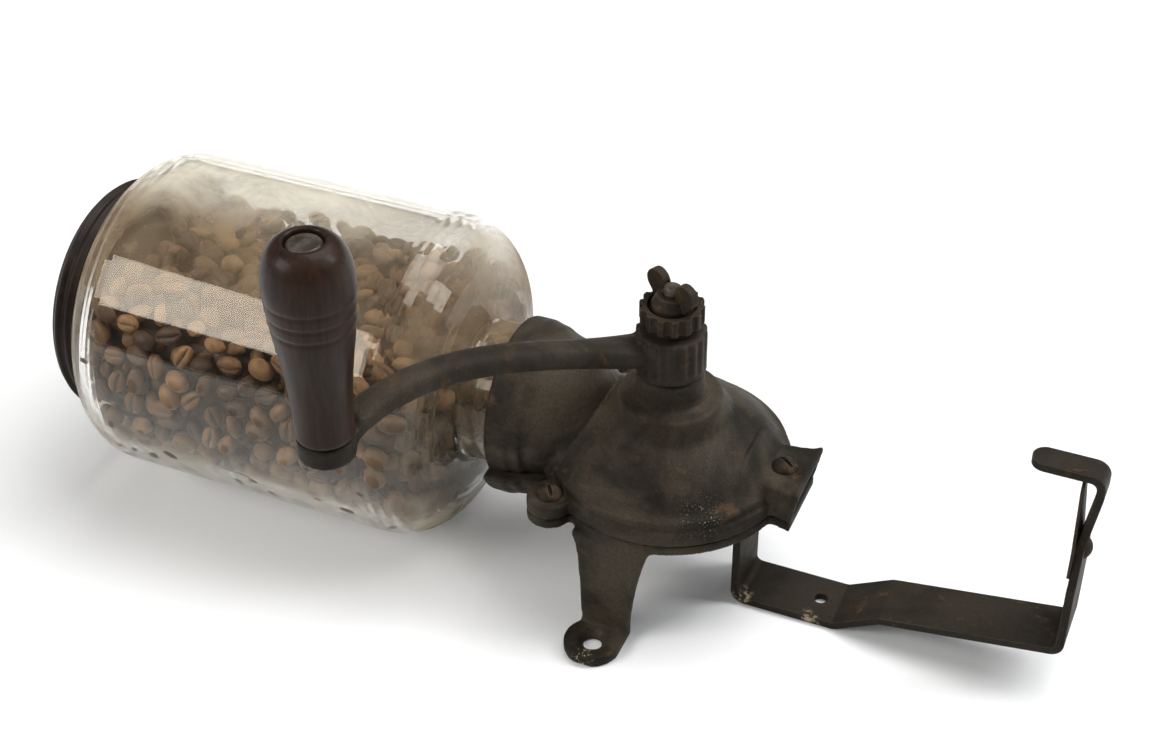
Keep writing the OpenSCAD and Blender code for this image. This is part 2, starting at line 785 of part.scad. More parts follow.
lug_shank = flange_h + plate_t + lug_bump;
module cover_screw_near() {
  translate([lug_x, -lug_y, 0]) rotate([0, 0, 35]) round_screw(flange_top, lug_shank);
}
module cover_screw_far() {
  translate([lug_x, lug_y, 0]) rotate([0, 0, -20]) round_screw(flange_top, lug_shank);
}
module cover_screw_spout() {
  translate([spout_screw_x, 0, 0]) rotate([0, 0, 60]) round_screw(spout_top, spout_h + plate_t);
}

// Grooves between the teeth on a cone from r0 at z0 to r1 at z1
module tooth_cuts(r0, z0, r1, z1, skew, out) {
  run = norm([r1 - r0, z1 - z0]);
  tilt = atan2(r0 - r1, z1 - z0);
  for (i = [0:burr_teeth - 1]) rotate([0, 0, i * 360 / burr_teeth])
  translate([(r0 + r1) / 2, 0, (z0 + z1) / 2]) rotate([0, -tilt, 0]) rotate([skew, 0, 0])
  translate([0, 0, -run]) linear_extrude(height = 2 * run)
  polygon([[out * tooth_depth, 0], [-out * tooth_depth, -tooth_depth], [-out * tooth_depth, tooth_depth]]);
}

// Fixed burr ring with teeth on its inner cone
module outer_burr() {
  color([0.30, 0.29, 0.28])
  translate([crank_x, 0, 0])
  difference() {
    translate([0, 0, burr_z]) cylinder(d = burr_d, h = burr_h);
    translate([0, 0, burr_z - 0.01]) cylinder(d1 = burr_wide_d, d2 = burr_narrow_d, h = burr_h + 0.02);
    tooth_cuts(burr_wide_d / 2, burr_z, burr_narrow_d / 2, burr_top, 12, 1);
  }
}

// Turning burr with teeth on its outer cone and three feed fins
module inner_burr() {
  wide = burr_wide_d / 2 - burr_gap;
  narrow = burr_narrow_d / 2 - burr_gap;
  color([0.30, 0.29, 0.28])
  translate([crank_x, 0, 0])
  difference() {
    union() {
      difference() {
        translate([0, 0, burr_z]) cylinder(r1 = wide, r2 = narrow, h = burr_h);
        tooth_cuts(wide, burr_z, narrow, burr_top, -12, -1);
      }
      translate([0, 0, burr_z]) cylinder(d = burr_hub_d, h = burr_h + burr_hub_h);
      for (a = [0:120:240]) rotate([0, 0, a])
      translate([0, -1.5, burr_top - 1]) cube([narrow - 2, 3, burr_hub_h / 2 + 1]);
    }
    translate([0, 0, burr_z - 1]) cylinder(d = shaft_d + 2 * rivet_gap, h = burr_h + burr_hub_h + 2);
    translate([0, 0, burr_top + burr_hub_h / 2 + 2.2]) rotate([0, 90, 60])
    cylinder(d = burr_pin_d + 2 * rivet_gap, h = burr_hub_d + 2, center = true);
  }
}

module burr_pin() {
  color([0.5, 0.48, 0.45])
  translate([crank_x, 0, burr_top + burr_hub_h / 2 + 2.2]) rotate([0, 90, 60])
  cylinder(d = burr_pin_d, h = burr_hub_d - 1, center = true);
}

// Stepped shaft: tail, round bearing part, square for the crank and threaded end
module drive_shaft() {
  color([0.34, 0.31, 0.28])
  translate([crank_x, 0, 0])
  difference() {
    union() {
      translate([0, 0, tail_z]) cylinder(d = tail_d, h = tail_top - tail_z + 1);
      translate([0, 0, tail_top]) cylinder(d = shaft_d, h = square_low - tail_top);
      intersection() {
        translate([-square_w / 2, -square_w / 2, square_low - 1]) cube([square_w, square_w, square_top - square_low + 1]);
        translate([0, 0, square_low - 1]) cylinder(d = shaft_d - 0.4, h = square_top - square_low + 1);
      }
      translate([0, 0, square_top - 1]) cylinder(d = thread_d, h = thread_top - square_top + 0.4);
      translate([0, 0, thread_top - 0.6]) cylinder(d1 = thread_d, d2 = thread_d - 1.2, h = 0.6);
    }
    translate([0, 0, burr_top + burr_hub_h / 2 + 2.2]) rotate([0, 90, 60])
    cylinder(d = burr_pin_d + 2 * rivet_gap, h = shaft_d + 2, center = true);
  }
}

// Swept arm from the hub to the eye, in the crank's own frame
arm_rings = 26;
arm_sides = 16;
arm_root_z = hub_z + hub_h / 2 - 2;
arm_end_z = eye_z + eye_h / 2;
arm_path = curve([4, -arm_bow * 0.7, arm_root_z], [crank_r * 0.31, -arm_bow, arm_root_z + (arm_end_z - arm_root_z) * 0.38],
  [crank_r * 0.67, -arm_bow * 1.5, arm_end_z + arm_arch], [crank_r - 2, 0, arm_end_z], arm_rings);
function blend(t) = t * t * (3 - 2 * t);
function arm_width(t) = t < 0.3 ? arm_root_w + (arm_w - arm_root_w) * blend(t / 0.3) :
  t > 0.75 ? arm_w + (eye_d * 0.7 - arm_w) * blend((t - 0.75) / 0.25) : arm_w;
function arm_depth(t) = t < 0.3 ? hub_h * 0.58 + (arm_t - hub_h * 0.58) * blend(t / 0.3) :
  t > 0.75 ? arm_t + (eye_h * 0.9 - arm_t) * blend((t - 0.75) / 0.25) : arm_t;
function arm_ring(i) =
  let (t = i / arm_rings, p = arm_path[i])
  let (q = arm_path[min(i + 1, arm_rings)] - arm_path[max(i - 1, 0)])
  let (f = unit(q), side = unit([-f[1], f[0], 0]), up = cross(f, side))
  [for (k = [0:arm_sides - 1]) let (a = (k + 0.5) * 360 / arm_sides, c = cos(a), s = sin(a))
    p + side * sign(c) * pow(abs(c), 0.8) * arm_width(t) / 2 + up * sign(s) * pow(abs(s), 0.8) * arm_depth(t) / 2];

module swept_arm() {
  points = [for (i = [0:arm_rings]) each arm_ring(i)];
  sides = [for (i = [0:arm_rings - 1], k = [0:arm_sides - 1])
    let (a = i * arm_sides + k, b = i * arm_sides + (k + 1) % arm_sides)
    each [[a, b + arm_sides, b], [a, a + arm_sides, b + arm_sides]]];
  caps = [[for (k = [0:arm_sides - 1]) k],
    [for (k = [arm_sides - 1:-1:0]) arm_rings * arm_sides + k]];
  polyhedron(points, concat(sides, caps));
}

// Cast crank: fluted hub with a square hole, curved arm and eye
module crank_arm() {
  hole = square_w + 2 * square_gap;
  color([0.22, 0.19, 0.17])
  translate([crank_x, 0, 0]) rotate([0, 0, crank_angle])
  difference() {
    union() {
      difference() {
        translate([0, 0, hub_z]) cylinder(d = hub_d, h = hub_h);
        for (i = [0:hub_flutes - 1]) rotate([0, 0, i * 360 / hub_flutes])
        translate([hub_d / 2 + 0.3, 0, hub_z + 2.5]) cylinder(r = flute_r, h = hub_h);
      }
      swept_arm();
      translate([crank_r, 0, eye_z]) cylinder(d = eye_d, h = eye_h);
    }
    translate([-30, -30, hub_z - 20]) cube([60, 60, 20]);
    translate([crank_r, 0, eye_top]) cylinder(d = grip_low_d + 3, h = 30);
    rotate([0, 0, -crank_angle]) translate([-hole / 2, -hole / 2, hub_z - 1]) cube([hole, hole, hub_h + 2]);
    translate([crank_r, 0, eye_z - 1]) cylinder(d = pin_d + 2 * rivet_gap, h = eye_h + 20);
  }
}

// Place of the handle on the crank
module at_handle() {
  translate([crank_x, 0, 0]) rotate([0, 0, crank_angle]) translate([crank_r, 0, 0]) children();
}

module handle_pin() {
  color([0.45, 0.42, 0.38])
  at_handle() {
    translate([0, 0, eye_z]) cylinder(d = pin_d, h = grip_top - pin_recess + face_gap + 0.5 - eye_z);
    translate([0, 0, grip_top - pin_recess + face_gap]) rotate_extrude()
    polygon([[0, 0], [pin_head_d / 2, 0], [pin_head_d / 2, pin_head_h - 0.8],
      [pin_head_d / 2 - 0.8, pin_head_h - 0.2], [0, pin_head_h]]);
  }
}

// Turned wooden grip that spins on its pin
grip_belly = grip_z + grip_len - 15.3;
function grip_at(t) = cubic([grip_low_d / 2, grip_z + 1.5], [grip_low_d / 2 - 0.8, grip_z + 23],
  [grip_d / 2 - 0.8, grip_belly - 20], [grip_d / 2, grip_belly], t);
module wooden_handle() {
  head_r = pin_head_d / 2 + pin_head_gap;
  color([0.20, 0.08, 0.05])
  at_handle()
  difference() {
    rotate_extrude($fn = 96)
    polygon(concat([[0, grip_z], [grip_low_d / 2 - 1, grip_z]],
      [for (i = [0:14]) grip_at(i / 14)],
      curve([grip_d / 2, grip_belly], [grip_d / 2, grip_top - 7], [grip_d / 2 - 2.5, grip_top - 1.2],
        [head_r + 1, grip_top], 10),
      [[0, grip_top]]));
    for (t = [0.76, 0.85, 0.94]) translate([0, 0, grip_at(t)[1]]) rotate_extrude($fn = 96)
    translate([grip_at(t)[0] + 0.2, 0]) circle(r = groove_r, $fn = 16);
    translate([0, 0, grip_z - 1]) cylinder(r = pin_bore_r, h = grip_len + 2);
    translate([0, 0, grip_top - pin_recess]) cylinder(r = head_r, h = pin_recess + 1);
  }
}

// Scalloped adjusting nut with a recess for the wing nut
module adjusting_nut() {
  color([0.27, 0.24, 0.21])
  translate([crank_x, 0, 0])
  difference() {
    union() {
      translate([0, 0, nut_z]) cylinder(d = ring_neck_d, h = ring_neck_h + 0.1);
      difference() {
        translate([0, 0, ring_z]) cylinder(d = ring_d, h = ring_h);
        for (i = [0:ring_scallops - 1]) rotate([0, 0, i * 360 / ring_scallops])
        translate([ring_d / 2 + 0.4, 0, ring_z - 1]) cylinder(r = scallop_r, h = ring_h + 2);
      }
    }
    translate([0, 0, recess_z]) cylinder(d = ring_recess_d, h = ring_recess + 1);
    translate([0, 0, nut_z - 1]) cylinder(d = thread_d + 2 * run_gap, h = 40);
  }
}

// Wing nut that locks the setting
module wing_nut() {
  color([0.25, 0.21, 0.18])
  translate([crank_x, 0, 0]) rotate([0, 0, wing_angle])
  difference() {
    union() {
      translate([0, 0, wing_z]) cylinder(d = wing_base_d, h = wing_base_h * 0.4);
      translate([0, 0, wing_z + wing_base_h * 0.4])
      cylinder(d1 = wing_base_d, d2 = thread_d + 5, h = wing_base_h * 0.6);
      for (s = [-1, 1]) rotate([90, 0, 0]) linear_extrude(height = wing_t, center = true) {
        translate([s * wing_out, wing_top + wing_r * 0.55]) circle(r = wing_r);
        polygon([[s * 3.2, wing_z + 1], [s * (wing_base_d / 2 - 0.6), wing_z + 1],
          [s * (wing_out + wing_r * 0.94), wing_top + wing_r * 0.2], [s * (wing_out - wing_r * 0.5), wing_top + wing_r]]);
      }
    }
    translate([0, 0, wing_z - 1]) cylinder(d = thread_d + 2 * rivet_gap, h = 40);
  }
}

// Bent strap: flange under the casing, wall part, step, upright and cup hook
module bracket_strap() {
  half = strap_w / 2;
  tip = hook_w / 2;
  route = rounded(strap_route, strap_bend_r + strap_t / 2, 6);
  face = [[-half, 0], [half, 0], [half, neck_down_z], [half - 1.5, neck_down_z + 1], [tip, hook_start_z],
    [tip, hook_top + 5], [-tip, hook_top + 5], [-tip, hook_start_z], [1.5 - half, neck_down_z + 1], [-half, neck_down_z]];
  color([0.24, 0.20, 0.17])
  difference() {
    union() {
      intersection() {
        across(strap_w) polygon(strip(route, strap_t));
        translate([flange_x - 1, 0, 0]) rotate([90, 0, 90]) linear_extrude(height = 300) polygon(face);
      }
      translate([hook_end, 0, hook_top - strap_t]) cylinder(d = hook_w, h = strap_t);
    }
    translate([strap_hole_x, 0, -1]) cylinder(d = strap_hole_d, h = strap_t + 2);
    for (s = [-1, 1]) translate([strap_rivet_x, s * rivet_pitch / 2, plate_z - strap_t - 1])
    cylinder(d = rivet_d + 2 * rivet_gap, h = strap_t + 2);
    translate([shelf_mid - strap_t, 0, leaf_rivet_z]) rotate([0, 90, 0])
    cylinder(d = rivet_d + 2 * rivet_gap, h = 2 * strap_t);
  }
}

// Round-head rivet along +Z with its head below z = 0 and a flush tail
module rivet(grip) {
  ball = (pow(rivet_head_d / 2, 2) + pow(rivet_head_h, 2)) / (2 * rivet_head_h);
  color([0.27, 0.23, 0.20]) {
    cylinder(d = rivet_d, h = grip);
    intersection() {
      translate([0, 0, ball - rivet_head_h]) sphere(r = ball);
      translate([0, 0, -rivet_head_h - 1]) cylinder(d = rivet_head_d, h = rivet_head_h + 1);
    }
  }
}
module strap_rivet_near() {
  translate([strap_rivet_x, -rivet_pitch / 2, plate_z - strap_t]) rivet(strap_t + plate_t);
}
module strap_rivet_far() {
  translate([strap_rivet_x, rivet_pitch / 2, plate_z - strap_t]) rivet(strap_t + plate_t);
}

// Leaf of spring steel that presses on the cup
module cup_spring() {
  half = strap_w / 2;
  tip = leaf_tip_w / 2;
  face = concat([[2 - half, leaf_low], [half - 2, leaf_low], [half - 2, neck_down_z + 16]],
    arc([0, leaf_top - tip], tip, 8, 172, 10), [[2 - half, neck_down_z + 16]]);
  color([0.24, 0.20, 0.18])
  difference() {
    intersection() {
      across(strap_w) polygon(strip(leaf_route, leaf_t));
      translate([leaf_x - 20, 0, 0]) rotate([90, 0, 90]) linear_extrude(height = 40) polygon(face);
    }
    translate([leaf_x - 5, 0, leaf_rivet_z]) rotate([0, 90, 0]) cylinder(d = rivet_d + 2 * rivet_gap, h = 10);
  }
}

module leaf_rivet() {
  translate([shelf_x, 0, leaf_rivet_z]) rotate([0, -90, 0]) rivet(strap_t + leaf_t);
}

glass_jar();
bean_fill();
jar_cap();
rear_casing();
front_cover();
cover_screw_near();
cover_screw_far();
cover_screw_spout();
outer_burr();
inner_burr();
burr_pin();
drive_shaft();
crank_arm();
handle_pin();
wooden_handle();
adjusting_nut();
wing_nut();
bracket_strap();
strap_rivet_near();
strap_rivet_far();
cup_spring();
leaf_rivet();
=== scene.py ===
"""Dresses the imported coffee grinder: materials, castings, loose beans, thread, floor, light, camera."""

import math
import random

import bpy
import numpy as np
from mathutils import Matrix, Vector


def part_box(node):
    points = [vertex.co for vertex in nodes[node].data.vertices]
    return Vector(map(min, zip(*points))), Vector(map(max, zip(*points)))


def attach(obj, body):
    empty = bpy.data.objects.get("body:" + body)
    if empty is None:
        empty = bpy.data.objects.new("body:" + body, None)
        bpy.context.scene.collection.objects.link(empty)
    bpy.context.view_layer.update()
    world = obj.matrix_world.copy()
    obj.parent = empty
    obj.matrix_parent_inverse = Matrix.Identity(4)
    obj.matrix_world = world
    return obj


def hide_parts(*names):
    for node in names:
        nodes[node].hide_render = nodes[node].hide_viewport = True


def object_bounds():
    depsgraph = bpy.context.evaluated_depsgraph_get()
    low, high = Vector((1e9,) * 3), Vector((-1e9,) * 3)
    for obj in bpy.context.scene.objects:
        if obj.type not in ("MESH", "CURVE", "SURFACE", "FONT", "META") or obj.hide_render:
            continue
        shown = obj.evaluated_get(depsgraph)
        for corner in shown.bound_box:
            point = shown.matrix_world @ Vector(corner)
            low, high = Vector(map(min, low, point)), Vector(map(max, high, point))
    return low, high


MM = 0.001

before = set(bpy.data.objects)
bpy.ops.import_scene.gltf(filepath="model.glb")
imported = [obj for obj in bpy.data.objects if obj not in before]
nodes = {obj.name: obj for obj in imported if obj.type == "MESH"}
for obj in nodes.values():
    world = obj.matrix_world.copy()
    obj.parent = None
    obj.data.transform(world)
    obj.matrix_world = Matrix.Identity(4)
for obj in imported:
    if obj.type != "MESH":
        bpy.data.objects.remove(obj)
cad_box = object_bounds()
scene = bpy.context.scene
scene.view_settings.view_transform = "Standard"


# Camera at the photograph's viewing point, in metres
IMAGE_WIDTH = 1160
FOCAL_PIXELS = 1981.23
SENSOR_MM = 36.0
CAMERA_AT = Vector((0.20463, -0.53160, 0.53362))
CAMERA_RIGHT = Vector((0.9194087, 0.3931929, -0.0093258))
CAMERA_UP = Vector((-0.2356068, 0.5695992, 0.7874301))
CAMERA_FORWARD = Vector((-0.3149239, 0.7217729, -0.6163334))


def make_camera():
    data = bpy.data.cameras.new("camera")
    data.sensor_fit = "HORIZONTAL"
    data.sensor_width = SENSOR_MM
    data.lens = FOCAL_PIXELS / IMAGE_WIDTH * SENSOR_MM
    data.clip_start = 0.01
    data.clip_end = 50.0
    camera = bpy.data.objects.new("camera", data)
    scene.collection.objects.link(camera)
    turn = Matrix((CAMERA_RIGHT, CAMERA_UP, -CAMERA_FORWARD)).transposed()
    camera.matrix_world = Matrix.Translation(CAMERA_AT) @ turn.to_4x4()
    scene.camera = camera


make_camera()


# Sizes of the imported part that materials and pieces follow, in mm
CRANK_X = 8.5
FOOT_Y = 54.0
FOOT_T = 4.5
PLATE_Z = 45.3
RIM_Z = 56.0
DOME_FOOT_R = 44.6
BOSS_FOOT_R = 19.1
BOSS_FOOT_Z = 84.2
SOLID_ARC_R = 75.0
JAR_AXIS_Z = 63.5
JAR_IN_R = 58.5
JAR_BODY_LO = -200.8
JAR_BODY_HI = -90.8
MOUTH_FILLET = 14.0
NECK_FILLET = 19.0
NECK_IN_R = 21.0


def upright_axis(node):
    """Where an upright pin, screw or grip stands, in mm."""
    low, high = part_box(node)
    return (low[0] + high[0]) / 2 / MM, (low[1] + high[1]) / 2 / MM


# Shader building
class Shader:
    """Adds shader nodes to one new material and joins them."""

    def __init__(self, name):
        self.material = bpy.data.materials.new(name)
        self.material.use_nodes = True
        self.tree = self.material.node_tree
        self.tree.nodes.clear()
        self.output = self.tree.nodes.new("ShaderNodeOutputMaterial")
        coords = self.tree.nodes.new("ShaderNodeTexCoord")
        self.place = coords.outputs["Object"]

    def put(self, socket, value):
        if isinstance(value, bpy.types.NodeSocket):
            self.tree.links.new(value, socket)
        else:
            socket.default_value = value

    def node(self, kind, settings=None, **inputs):
        made = self.tree.nodes.new(kind)
        for key, value in (settings or {}).items():
            setattr(made, key, value)
        for key, value in inputs.items():
            self.put(made.inputs[key.replace("_", " ")], value)
        return made

    def principled(self, **inputs):
        return self.node("ShaderNodeBsdfPrincipled", None, **inputs).outputs["BSDF"]

    def surface(self, shader):
        self.put(self.output.inputs["Surface"], shader)
        return self.material

    def stretched(self, scale):
        made = self.node("ShaderNodeMapping", None, Vector=self.place, Scale=scale)
        return made.outputs["Vector"]

    def noise(self, scale, detail, rough, at=None, distortion=0.0):
        made = self.node("ShaderNodeTexNoise", None, Scale=scale, Detail=detail, Roughness=rough)
        self.put(made.inputs["Distortion"], distortion)
        self.put(made.inputs["Vector"], at or self.place)
        return made.outputs["Fac"]

    def cells(self, scale):
        made = self.node("ShaderNodeTexVoronoi", {"feature": "F1"}, Scale=scale, Vector=self.place)
        return made.outputs["Distance"]

    def ramp(self, value, low, high, start=0.0, end=1.0):
        """Goes smoothly from start to end while the value goes from low to high."""
        made = self.node("ShaderNodeMapRange", {"interpolation_type": "SMOOTHSTEP"})
        self.put(made.inputs["Value"], value)
        made.inputs["From Min"].default_value = low
        made.inputs["From Max"].default_value = high
        made.inputs["To Min"].default_value = start
        made.inputs["To Max"].default_value = end
        return made.outputs["Result"]

    def zone(self, value, low, high, start=0.0, end=1.0):
        """A ramp along a length, with its bounds in mm."""
        return self.ramp(value, low * MM, high * MM, start, end)

    def maths(self, operation, first, second=0.0):
        made = self.node("ShaderNodeMath", {"operation": operation})
        self.put(made.inputs[0], first)
        self.put(made.inputs[1], second)
        return made.outputs["Value"]

    def plus(self, first, second):
        return self.maths("ADD", first, second)

    def minus(self, first, second):
        return self.maths("SUBTRACT", first, second)

    def times(self, first, second):
        return self.maths("MULTIPLY", first, second)

    def mix(self, share, first, second):
        made = self.node("ShaderNodeMix", {"data_type": "RGBA"}, Factor=share)
        self.put(made.inputs["A"], first)
        self.put(made.inputs["B"], second)
        return made.outputs["Result"]

    def blend(self, share, first, second):
        """Mixes two shaders."""
        made = self.node("ShaderNodeMixShader", None, Fac=share)
        self.put(made.inputs[1], first)
        self.put(made.inputs[2], second)
        return made.outputs["Shader"]

    def near(self, point, inner, outer):
        """1 within inner of the point, falling to 0 at outer, in metres."""
        away = self.node("ShaderNodeVectorMath", {"operation": "DISTANCE"})
        self.put(away.inputs[0], self.place)
        away.inputs[1].default_value = point
        return self.ramp(away.outputs["Value"], inner, outer, 1.0, 0.0)

    def parts(self):
        made = self.node("ShaderNodeSeparateXYZ", None, Vector=self.place)
        return made.outputs

    def soft_edges(self, radius):
        made = self.node("ShaderNodeBevel", {"samples": 4}, Radius=radius * MM)
        return made.outputs["Normal"]

    def edge_share(self, soft_normal):
        """0 on flat faces, rising towards 1 where two faces meet."""
        geometry = self.tree.nodes.new("ShaderNodeNewGeometry")
        made = self.node("ShaderNodeVectorMath", {"operation": "DOT_PRODUCT"})
        self.put(made.inputs[0], soft_normal)
        self.put(made.inputs[1], geometry.outputs["Normal"])
        return self.ramp(made.outputs["Value"], 0.995, 0.80)

    def bump(self, height, distance, strength, normal=None):
        """Relief of the given height in mm."""
        made = self.node("ShaderNodeBump", None, Height=height, Distance=distance * MM, Strength=strength)
        if normal is not None:
            self.put(made.inputs["Normal"], normal)
        return made.outputs["Normal"]


def rgb(red, green, blue):
    return (red, green, blue, 1.0)


# Iron and steel
CAST_DARK = rgb(0.0165, 0.0130, 0.0090)
CAST_MID = rgb(0.0690, 0.0550, 0.0385)
RUST = rgb(0.0880, 0.0530, 0.0290)
RUBBED = rgb(0.1150, 0.0920, 0.0690)
PALE = rgb(0.46, 0.44, 0.40)
PLASTER = rgb(0.50, 0.42, 0.29)


def iron(name, dark, mid, rust_share, grain, spots=()):
    """Old iron with a brown patina, rust bloom, rubbed edges and a sandy skin with grain mm of relief.

    Each spot is a place and two reaches in mm, the bounds and the scale of its flecks, and a tone; scuffs
    and plaster are real marks, the spot on the crank's eye is painted shade.
    """
    s = Shader(name)
    wide = s.noise(24.0, 7.0, 0.62, distortion=0.5)
    blotch = s.noise(95.0, 8.0, 0.66, distortion=0.4)
    sand = s.noise(1150.0, 3.0, 0.6)
    pits = s.ramp(s.cells(620.0), 0.0, 0.45)
    colour = s.mix(s.ramp(wide, 0.38, 0.62), dark, mid)
    bloom = s.ramp(blotch, 0.68 - rust_share, 0.78 - rust_share)
    colour = s.mix(s.times(bloom, 0.75), colour, RUST)
    colour = s.mix(s.ramp(sand, 0.35, 0.75, 0.0, 0.45), colour, dark)
    soft = s.soft_edges(0.9)
    worn = s.times(s.edge_share(soft), s.ramp(blotch, 0.30, 0.62, 0.15, 0.85))
    colour = s.mix(worn, colour, RUBBED)
    for place, inner, outer, low, high, scale, tone in spots:
        fleck = s.ramp(s.noise(scale, 5.0, 0.7), low, high)
        point = [value * MM for value in place]
        colour = s.mix(s.times(fleck, s.near(point, inner * MM, outer * MM)), colour, tone)
    height = s.plus(s.times(sand, 0.55), s.times(pits, 0.35))
    height = s.plus(height, s.times(blotch, 0.9))
    shader = s.principled(
        Base_Color=colour,
        Roughness=s.ramp(blotch, 0.25, 0.75, 0.47, 0.68),
        Metallic=0.1,
        Specular_IOR_Level=0.13,
        Normal=s.bump(height, grain, 0.9, soft),
    )
    return s.surface(shader)


def worn_steel(name, dark, pale):
    """Bare steel, browned, with a duller skin in patches."""
    s = Shader(name)
    blotch = s.noise(160.0, 6.0, 0.65)
    fine = s.noise(1300.0, 3.0, 0.6)
    colour = s.mix(s.ramp(blotch, 0.35, 0.68), dark, pale)
    colour = s.mix(s.ramp(fine, 0.55, 0.75, 0.0, 0.6), colour, dark)
    shader = s.principled(
        Base_Color=colour,
        Roughness=s.ramp(blotch, 0.3, 0.7, 0.40, 0.58),
        Metallic=0.55,
        Specular_IOR_Level=0.5,
        Normal=s.bump(s.plus(blotch, fine), 0.12, 0.6, s.soft_edges(0.35)),
    )
    return s.surface(shader)


# Wood and lacquer
def old_wood():
    """Dark red-brown turned wood with fine grain along the grip and worn satin varnish."""
    s = Shader("old_wood")
    grain = s.noise(420.0, 6.0, 0.62, s.stretched((1.0, 1.0, 0.07)), 0.6)
    pores = s.noise(1500.0, 3.0, 0.6, s.stretched((1.0, 1.0, 0.05)))
    cloud = s.noise(42.0, 4.0, 0.55)
    colour = s.mix(s.ramp(grain, 0.30, 0.70), rgb(0.0110, 0.0060, 0.0037), rgb(0.0320, 0.0152, 0.0085))
    colour = s.mix(s.ramp(cloud, 0.46, 0.70, 0.0, 0.7), colour, rgb(0.0360, 0.0160, 0.0095))
    colour = s.mix(s.ramp(pores, 0.58, 0.75, 0.0, 0.6), colour, rgb(0.010, 0.0055, 0.005))
    height = s.plus(s.times(grain, 0.5), s.times(pores, 0.5))
    shader = s.principled(
        Base_Color=colour,
        Roughness=s.ramp(cloud, 0.3, 0.7, 0.36, 0.56),
        Specular_IOR_Level=0.13,
        Coat_Weight=0.08,
        Coat_Roughness=0.20,
        Normal=s.bump(height, 0.10, 0.5, s.soft_edges(0.5)),
    )
    return s.surface(shader)


def cap_lacquer():
    """Thin dark lacquer on sheet metal, speckled brown."""
    s = Shader("cap_lacquer")
    blotch = s.noise(80.0, 7.0, 0.65)
    fine = s.noise(900.0, 3.0, 0.6)
    colour = s.mix(s.ramp(blotch, 0.38, 0.66), rgb(0.015, 0.0100, 0.0080), rgb(0.030, 0.0200, 0.0150))
    colour = s.mix(s.ramp(fine, 0.60, 0.75, 0.0, 0.5), colour, rgb(0.050, 0.028, 0.018))
    shader = s.principled(
        Base_Color=colour,
        Roughness=s.ramp(blotch, 0.3, 0.7, 0.40, 0.58),
        Metallic=0.1,
        Specular_IOR_Level=0.20,
        Normal=s.bump(s.plus(blotch, s.times(fine, 0.3)), 0.12, 0.6),
    )
    return s.surface(shader)


# Glass with coffee dust, which lies thicker above the beans, low down and at the jar's ends; its tone has
# painted light along the top and a painted reflection low down
DUST_LEAN = math.radians(38.0)
DUST_RIDGE = 28.0
# Pale film tone low down: coffee dust with a painted bright reflection along the jar's bottom.
DUST_AND_REFLECTION_PALE = rgb(0.70, 0.63, 0.49)
DUST_BROWN = rgb(0.33, 0.255, 0.170)
DUST_PRINT = rgb(0.19, 0.130, 0.078)
DUST_MOTTLE = rgb(0.29, 0.215, 0.140)
# Painted light: a cream film tone along the jar's top, where light falls from above.
PAINTED_TOP_LIGHT = rgb(0.84, 0.80, 0.69)


